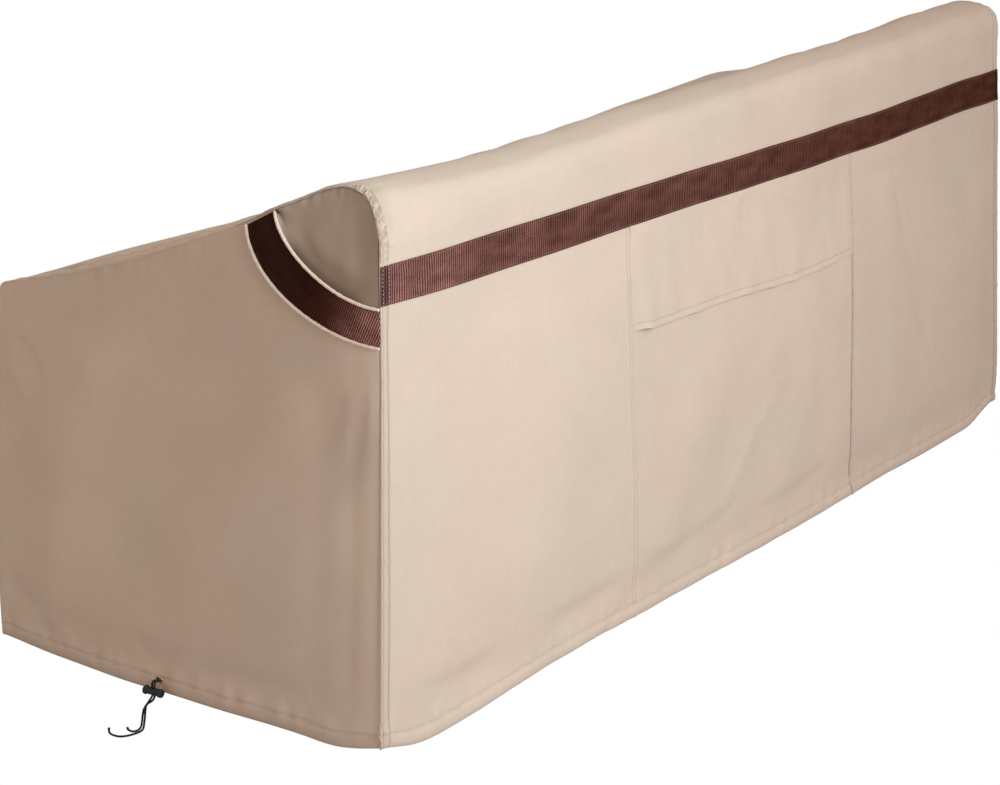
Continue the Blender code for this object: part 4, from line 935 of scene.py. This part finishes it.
def arcBand(word, side, seed):
    share = np.concatenate([[0.0, 0.02, 0.045], np.linspace(0.07, 0.93, 30), [0.955, 0.98, 1.0]])[:, None, None]
    grids = []
    for away in (band["lay"] + band["thickness"], band["lay"]):
        low = arcLine(end["lowerArc"], away, band["inset"], band["arcColumns"])
        high = arcLine(end["upperArc"], away, -band["inset"], band["arcColumns"])
        grids.append(low[None] + (high - low)[None] * share)
    outer, inner = grids
    length, across = gridLengths(outer, 1), gridLengths(outer, 0)
    lean = math.radians(end["ribLean"])  # it is cut on the curve, so its ribs all lean one way
    run = end["ribCrowd"] * (outer[..., 1] * math.cos(lean) + outer[..., 2] * math.sin(lean))
    outer = pushed(outer, ribbed(run, across, across[-1:], seed), (1, 0, 0))[0]
    mirrored(side, outer, inner)
    # painted shade over the far part of the arc band, and painted light on its part by the rear corner
    nearCorner = clamp(length / length[:, -1:])
    shade = 0.42 * smooth((0.75 - nearCorner) / 0.3)
    obj = sheetMesh("band" + word, outer, inner, webbingLook, shade, run)
    pointLayer(obj.data, "fade", np.tile(smooth((nearCorner - 0.62) / 0.34).ravel(), 2))
    dressed(obj, "arc_band_" + word.lower())


rearBand()
arcBand("Near", 1, 93)
arcBand("Far", -1, 94)


# piping: a cloth-covered cord along each edge of the arc bands
piping = {"radius": 0.0026, "sides": 12, "count": 230}
pipingLook = clothMaterial("pipingCloth", (0.8, 0.65, 0.525), weave, 0.00012, 0.08)


def tubeMesh(name, line, radii, sides, material, relief=None):
    runs = np.gradient(line, axis=0)
    runs /= np.linalg.norm(runs, axis=1, keepdims=True)
    side = np.cross(runs[0], [0.0, 0.3, 1.0])
    lengths, turns = lengthsAlong(line), np.linspace(0, math.tau, sides, endpoint=False)
    rings = []
    for spot, run, radius, length in zip(line, runs, radii, lengths):
        side = side - run * (side @ run)
        side /= np.linalg.norm(side)
        reach = radius * (1 + (relief(length, turns) if relief else 0 * turns))
        ring = np.outer(np.cos(turns) * reach, side) + np.outer(np.sin(turns) * reach, np.cross(run, side))
        rings.append(spot + ring)
    spots = np.concatenate([*rings, line[:1], line[-1:]])
    first, last, final = len(spots) - 2, len(spots) - 1, len(spots) - 2 - sides
    faces, metres = [], []
    for index, (here, there) in enumerate(zip(lengths, lengths[1:])):
        for step in range(sides):
            a, b = index * sides + step, index * sides + (step + 1) % sides
            across, far = step / sides, (step + 1) / sides
            faces.append((a, b, b + sides, a + sides))
            metres += [(here, across), (here, far), (there, far), (there, across)]
    for step in range(sides):
        after = (step + 1) % sides
        faces += [(first, after, step), (last, final + step, final + after)]
        metres += [(0.0, step / sides)] * 3 + [(lengths[-1], step / sides)] * 3
    obj = meshObject(name, spots, faces, metres, material)
    work = bmesh.new()
    work.from_mesh(obj.data)
    bmesh.ops.recalc_face_normals(work, faces=work.faces)
    work.to_mesh(obj.data)
    work.free()
    return obj


def pipingTube(level, word, side, seed):
    line = arcLine(end[level + "Arc"], band["lay"] + piping["radius"], 0.0, piping["count"])
    mirrored(side, line)
    radii = piping["radius"] * (1 + 0.05 * ripple(seed, np.arange(piping["count"]), 9.0, count=8))
    radii[[0, -1]] *= 0.6
    obj = tubeMesh("piping" + level.title() + word, settle(line), radii, piping["sides"], pipingLook)
    dressed(obj, "piping_" + level + "_" + word.lower())


for word, side in (("Near", 1), ("Far", -1)):
    pipingTube("upper", word, side, 101)
    pipingTube("lower", word, side, 103)
print("stage: webbing and piping")


# vent flap, sewn under the band and into both upright seams
flap = {
    "width": 0.81, "lift": 0.003, "gape": 0.008, "gapeX": 0.354, "hem": 0.0115,
    "edge": mm([(-430, 505), (-120, 503), (0, 511), (150, 516), (240, 517), (300, 518.7), (338, 522),
        (356, 524.3), (370, 524.3), (385, 523.5), (401, 525.5)]),
    "creases": mm([(340, 690, 240, 540, 8, 22, 12, 1.8), (200, 680, 100, 560, 6, 14, 26, -1.6),
        (-30, 600, -45, 515, 2, 10, 16, -1.4), (-270, 600, -300, 510, 2, 12, 18, -1.4),
        (-100, 690, -220, 580, 6, 24, 12, 1.4)]),
}


def ventFlap():
    share = steps(close[:9] / flap["width"], 0.00015, 0.99985, 0.007 / flap["width"])[None, :]
    turned = [0.92, 0.932, 0.94, 0.948, 0.965, 0.985, 0.995, 1.0]
    fall = np.concatenate([[0.0, 0.004], np.linspace(0.012, 0.9, 34), turned])[:, None]
    nearX, farX = rear["nearSeam"][-1, 1], rear["farSeam"][-1, 1]
    highX = nearX + (farX - nearX) * share
    peak, low = bandRow(highX, 0.0) - cover["seamGap"], along(flap["edge"], highX)
    z = peak + (low - peak) * fall
    x = along(rear["nearSeam"], z) + (along(rear["farSeam"], z) - along(rear["nearSeam"], z)) * share
    gape = flap["gape"] * hump(x, flap["gapeX"], 0.024) * smooth(share / 0.03)
    lifted = (flap["lift"] * np.sin(np.pi * share) ** 0.35 + gape) * fall ** 1.6
    ripples = 0.0008 * ripple(22, x, 0.1, z, 0.26) + creasePush(flap["creases"], x, z)
    fromEdge = (peak - low) * (1 - fall)
    turnedUp = smooth((0.0125 - fromEdge) / 0.001)
    hemShape = 0.0007 * turnedUp - 0.001 * hump(fromEdge, flap["hem"], 0.0012)
    side = smooth(np.minimum(share, 1 - share) * flap["width"] / 0.03)
    proud = 0.0014 + 0.0008 * side + lifted * (0.15 + 0.85 * side)
    proud = proud + (clamp(ripples, -0.001, 0.01) + hemShape) * within(share, 30) * smooth(fall * 8)
    outer, normal = pushed(rearSurface(x, z) + np.array([0.0, 1.0, 0.0]) * proud[..., None], 0 * x, (0, 1, 0))
    shade = 0.1 * hump(fromEdge, 0.0118, 0.0013)
    obj = sewn("ventFlap", "vent_flap", outer, normal, 0.0011 + 0.0006 * turnedUp, shade)
    row = nearest(fromEdge[:, fromEdge.shape[1] // 2], flap["hem"])
    stitchLine("stitchesSeams", outer[row], normal[row])


ventFlap()
print("stage: vent flap")


# drawcord: eyelet, barrel lock and two strands
drawcord = {
    "eyeletAt": (-0.4455, 0.0205), "eyeletR": 0.0074, "holeR": 0.0048, "radius": 0.0019, "strandHalf": 0.0026,
    "lockAt": (1.1462, -0.4410, 0.0085), "lockAxis": (-0.03, 1.0, -0.01), "lockLength": 0.038,
    "lockR": 0.0064, "capR": 0.0078, "slot": (0.011, 0.0052, 0.03),
    "pair": mm([(1134, -444.8, 22.2), (1139, -443.2, 23.6), (1145, -441.2, 23), (1146.2, -441, 17),
        (1146.2, -441, 8.5), (1146.2, -441.2, 0.5), (1146.8, -447, -9), (1147, -456, -18), (1147, -461, -28),
        (1147.5, -463, -39), (1152, -461, -49)]),
    "pairTurn": [0, 0, 0, 0, 0, 0, 50, 115, 160, 180, 180],
    "longEnd": mm([(1161, -453, -54.8), (1172, -451, -56), (1184, -453, -56), (1195, -457, -56),
        (1204, -465, -56), (1206, -478, -56), (1202, -490, -55.5), (1193.5, -498.5, -53)]),
    "shortEnd": mm([(1159, -460, -54.5), (1168, -458, -56), (1176.5, -461, -56), (1179, -468, -54.5),
        (1176.5, -474, -52)]),
}


def casingFace():  # x of the near end panel's face at the eyelet, and how far it leans
    y, z = drawcord["eyeletAt"]
    height = 0.04 * cover["flareTop"]
    xs = []
    for level in (0.0, height):
        low, high = flatEdges(level)
        flatY = low + (high - low) * (y + cover["depth"]) / cover["depth"]
        xs.append(float(cover["endX"] + endPush(flatY, level, dict(end, creases=[]))))
    return xs[0] + (xs[1] - xs[0]) * z / height, math.atan2(xs[0] - xs[1], height)


faceX, faceLean = casingFace()


def smoothRoute(points, step):
    points = [np.array(point, float) for point in points]
    ends = [points[0] * 2 - points[1], *points, points[-1] * 2 - points[-2]]
    fine = []
    for a, b, c, d in zip(ends, ends[1:], ends[2:], ends[3:]):
        for part in range(12):
            t = part / 12
            curve = (2 * a - 5 * b + 4 * c - d) * t * t + (3 * b - a - 3 * c + d) * t ** 3
            fine.append(0.5 * (2 * b + (c - a) * t + curve))
    fine = np.array([*fine, points[-1]])
    size = np.linalg.norm(np.diff(fine, axis=0), axis=1).sum()
    return evenLine(fine, round(size / step) + 1), size


braid, braidIn, braidOut = lookGroup("cordBraid")
braidFuzz = noise(braid, braidIn["Place"], 1500.0)
braidTone = maths(braid, "MULTIPLY_ADD", braidFuzz, 1.1, 0.4)
fill(braid, braidOut["Color"], scaled(braid, braidIn["Color"], braidTone))
fill(braid, braidOut["Roughness"], maths(braid, "MULTIPLY_ADD", braidFuzz, 0.3, 0.5))
fill(braid, braidOut["Height"], braidFuzz)
cordLook = clothMaterial("braidedCord", (0.01, 0.0095, 0.01), braid, 0.0001, 0.1)
lockLook = clothMaterial("lockPlastic", (0.012, 0.012, 0.013), braid, 0.00002, specular=0.5)


def strandRelief(length, turns):  # eight yarns that cross over and under each other
    return 0.09 * np.sin(4 * turns + length / 0.0011) * np.sin(4 * turns - length / 0.0011)


def strand(word, hand, ending):
    route = [((faceX + 0.0004, *drawcord["eyeletAt"]), 0), *zip(drawcord["pair"], drawcord["pairTurn"])]
    points, aside = [], drawcord["strandHalf"] * hand
    for (x, y, z), turn in route:
        turn = math.radians(turn)
        points.append((x + math.sin(turn) * aside, y - math.cos(turn) * aside, z))
    line, size = smoothRoute([*points, *ending], 0.0007)
    fromEnd = np.linspace(size, 0, len(line))
    melted = 0.22 * smooth((0.006 - fromEnd) / 0.002) - 0.45 * smooth((0.0012 - fromEnd) / 0.0012)
    obj = tubeMesh("cordTail" + word, line, drawcord["radius"] * (0.93 + melted), 24, cordLook, strandRelief)
    dressed(obj, "cord_tail_" + word.lower())


strand("Long", 1, drawcord["longEnd"])
strand("Short", -1, drawcord["shortEnd"])
print("stage: cords")


def turnedMesh(name, profile, material, centre, axis, count=48):
    work = bmesh.new()
    turns = [math.tau * step / count for step in range(count)]
    rings = [[work.verts.new((radius * math.cos(turn), radius * math.sin(turn), run)) for turn in turns]
             for run, radius in profile]
    for ring, following in zip(rings, rings[1:]):
        for s in range(count):
            work.faces.new((ring[s], ring[(s + 1) % count], following[(s + 1) % count], following[s]))
    if tuple(profile[0]) != tuple(profile[-1]):
        work.faces.new(rings[0])
        work.faces.new(rings[-1])
    else:
        bmesh.ops.remove_doubles(work, verts=work.verts, dist=1e-7)
    bmesh.ops.recalc_face_normals(work, faces=work.faces)
    turn = Vector(axis).to_track_quat("Z", "Y").to_matrix().to_4x4()
    turn.translation = Vector(centre) + Vector(lift)
    bmesh.ops.transform(work, matrix=turn, verts=work.verts)
    mesh = bpy.data.meshes.new(name)
    work.to_mesh(mesh)
    work.free()
    mesh.shade_smooth()
    mesh.materials.append(material)
    return placed(name, mesh)


def settled(obj):  # its modifiers become part of its mesh
    shape = bpy.data.meshes.new_from_object(obj.evaluated_get(bpy.context.evaluated_depsgraph_get()))
    obj.modifiers.clear()
    obj.data = shape
    shape.name = obj.name
    return shape


def cordLock():  # a barrel with a cap at each end, a groove, and a slot through it for the strands
    half, cap, barrel = 500 * drawcord["lockLength"], 1000 * drawcord["capR"], 1000 * drawcord["lockR"]
    low = [(0, 3), (0, cap - 2.6), (0.4, cap - 1.4), (1.4, cap - 0.5), (3, cap), (4.8, cap - 0.3),
           (6.2, cap - 1), (7.4, barrel + 0.1), (8.6, barrel - 0.3), (13, barrel - 0.4), (19, barrel - 0.1)]
    high = [(12.5, barrel), (11.9, barrel - 0.4), (11.5, barrel - 1.4), (9, barrel - 1.5), (8.6, barrel - 0.4),
            (7.8, cap - 1.2), (6.2, cap - 0.6), (2.2, cap - 0.6), (0.8, cap - 1.2), (0.1, cap - 2.6), (0.6, 3)]
    profile = mm([(run - half, radius) for run, radius in low] + [(half - run, radius) for run, radius in high])
    lock = turnedMesh("cordLock", profile, lockLook, drawcord["lockAt"], drawcord["lockAxis"])
    bpy.ops.mesh.primitive_cube_add(size=1.0)
    tool = bpy.context.object
    across = Vector((math.cos(math.pi / 2 + 0.03), 1.0, 0.0)).to_track_quat("X", "Z")
    for vertex in tool.data.vertices:
        spot = vertex.co * Vector(drawcord["slot"])
        spot.rotate(across)
        vertex.co = spot + Vector(drawcord["lockAt"]) + Vector(lift)
    cut = lock.modifiers.new("slot", "BOOLEAN")
    cut.operation, cut.object, cut.solver = "DIFFERENCE", tool, "EXACT"
    bevel = lock.modifiers.new("edges", "BEVEL")
    bevel.width, bevel.segments, bevel.limit_method, bevel.angle_limit = 0.00022, 2, "ANGLE", math.radians(35)
    settled(lock).set_sharp_from_angle(angle=math.radians(40))
    bpy.data.objects.remove(tool)
    dressed(lock, "cord_lock")


cordLock()

brass, brassTree, brassShader = newMaterial("oldBrass")
brassTone = noise(brassTree, add(brassTree, "ShaderNodeTexCoord", out="Object"), 420.0, 3.0)
brassColor = mixColor(brassTree, brassTone, (0.62, 0.4, 0.13), (0.86, 0.64, 0.26))
fill(brassTree, brassShader["Base Color"], brassColor)
fill(brassTree, brassShader["Roughness"], maths(brassTree, "MULTIPLY_ADD", brassTone, 0.25, 0.14))
fill(brassTree, brassShader["Metallic"], 1.0)


def eyelet():  # a rolled rim outside, and a short barrel through the cloth
    outer, hole = 1000 * drawcord["eyeletR"], 1000 * drawcord["holeR"]
    profile = mm([(-1.2, hole), (1.2, hole), (2, hole + 0.5), (2.3, (outer + hole) / 2), (1.9, outer - 0.5),
                  (0.9, outer), (0.1, outer - 0.3), (-0.2, outer - 1.2), (-1.2, hole + 0.6), (-1.2, hole)])
    centre = (faceX + 0.0006, *drawcord["eyeletAt"])
    axis = (math.cos(faceLean), 0.0, math.sin(faceLean))
    dressed(turnedMesh("eyelet", profile, brass, centre, axis), "eyelet")


eyelet()
print("stage: lock and eyelet")


# stitches along every sewn line, laid by one node tree
def stitchTree():
    inputs = {"Geometry": "Geometry", "Pitch": "Float", "Length": "Float", "Thickness": "Float"}
    inputs["Thread"] = "Material"
    tree, given, made = newGroup("stitchRows", "Geometry", inputs, {"Geometry": "Geometry"})
    curve = add(tree, "GeometryNodeMeshToCurve", [given["Geometry"]])
    row = {"Curve": curve, "Length": given["Pitch"]}
    spots = add(tree, "GeometryNodeCurveToPoints", row, "Points", mode="LENGTH")
    one = add(tree, "GeometryNodeMeshUVSphere", {"Segments": 6, "Rings": 4, "Radius": 0.5}, "Mesh")
    flat = add(tree, "ShaderNodeCombineXYZ", [given["Thickness"], given["Thickness"], given["Length"]])
    shape = add(tree, "GeometryNodeTransform", {"Geometry": one, "Scale": flat})
    rows = add(tree, "GeometryNodeInstanceOnPoints",
               {"Points": spots, "Rotation": spots.node.outputs["Rotation"], "Instance": shape})
    soft = add(tree, "GeometryNodeSetShadeSmooth", [add(tree, "GeometryNodeRealizeInstances", [rows])])
    painted = add(tree, "GeometryNodeSetMaterial", {"Geometry": soft, "Material": given["Thread"]})
    fill(tree, made["Geometry"], painted)
    return tree


threadTree = stitchTree()
threadLook = clothMaterial("thread", (0.47, 0.345, 0.255), braid, 0.00003, 0.05)
paleThreadLook = clothMaterial("paleThread", (0.66, 0.54, 0.43), braid, 0.00003, 0.05)
bandThreadLook = clothMaterial("bandThread", (0.33, 0.215, 0.165), braid, 0.00003, 0.05)


def sewRows(group, thread, larger=1.0):
    points, edges = [], []
    for line in stitchRows[group]:
        edges += [(len(points) + place, len(points) + place + 1) for place in range(len(line) - 1)]
        points += line.tolist()
    mesh = bpy.data.meshes.new(group + "Lines")
    mesh.from_pydata(points, edges, [])
    obj = placed(group, mesh)
    made = obj.modifiers.new("rows", "NODES")
    made.node_group = threadTree
    values = {label.title(): stitch[label] * larger for label in ("pitch", "length", "thickness")}
    values["Thread"] = thread
    for item in threadTree.interface.items_tree:
        if item.in_out == "INPUT" and item.name in values:
            made[item.identifier] = values[item.name]
    settled(obj)
    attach(obj, "root")


sewRows("stitchesHem", paleThreadLook, 1.5)
sewRows("stitchesSeams", threadLook)
sewRows("stitchesBand", bandThreadLook)
sewRows("stitchesBandEnd", paleThreadLook, 1.35)
print("stage: stitches")


# floor, light and surroundings
def areaLight(name, spot, aim, size, power, color):
    lamp = bpy.data.lights.new(name, "AREA")
    lamp.shape = "RECTANGLE"
    lamp.size, lamp.size_y = size
    lamp.energy, lamp.color = power, color
    obj = placed(name, lamp)
    obj.location = spot
    obj.rotation_euler = (Vector(aim) - Vector(spot)).to_track_quat("-Z", "Y").to_euler()


areaLight("key", (1.4, 2.8, 0.508), (0.3, 0.0, -0.392), (1.4, 1.0), 47.0, (0.84, 0.92, 1.0))
areaLight("near", (1.25, 1.8, 0.908), (0.85, 0.0, -0.3), (0.8, 0.8), 16.5, (0.62, 0.86, 1.0))
areaLight("high", (0.0, 2.8, 1.608), (0.3, 0.0, -0.392), (1.4, 1.0), 29.0, (0.8, 0.94, 1.0))
areaLight("over", (0.8, -0.25, 2.208), (0.8, -0.2, 0.0), (0.9, 0.6), 11.0, (0.6, 1.0, 0.96))
areaLight("endFill", (4.0, -2.0, 0.708), (1.1, -0.3, -0.492), (1.4, 1.0), 14.0, (0.96, 1.0, 0.86))


def seenByCamera(tree, other, seen, output):  # the camera sees one shader, and the light the other
    ray = add(tree, "ShaderNodeLightPath", out="Is Camera Ray")
    fill(tree, tree.nodes[output].inputs["Surface"], add(tree, "ShaderNodeMixShader", [ray, other, seen]))


floorMesh = bpy.data.meshes.new("floor")
floorCorners = (-30, -30), (30, -30), (30, 30), (-30, 30)
floorMesh.from_pydata([(x, y, floorZ) for x, y in floorCorners], [], [(0, 1, 2, 3)])
floor = placed("floor", floorMesh)
floorLook, floorTree, floorShader = newMaterial("paleFloor")
fill(floorTree, floorShader["Base Color"], (0.55, 0.55, 0.55))
fill(floorTree, floorShader["Roughness"], 0.9)
floorGlow = add(floorTree, "ShaderNodeEmission")
seenByCamera(floorTree, floorTree.nodes["Principled BSDF"].outputs[0], floorGlow, "Material Output")
floorMesh.materials.append(floorLook)

world = bpy.data.worlds.new("studio")
scene.world = world
world.use_nodes = True
worldTree = world.node_tree
glow = worldTree.nodes["Background"]
fill(worldTree, glow.inputs["Color"], (1.0, 0.76, 0.69))
fill(worldTree, glow.inputs["Strength"], 0.49)
white = add(worldTree, "ShaderNodeBackground", {"Color": (1.0, 1.0, 1.0)})
seenByCamera(worldTree, glow.outputs[0], white, "World Output")
scene.view_settings.view_transform = "Standard"

print("stage: light")
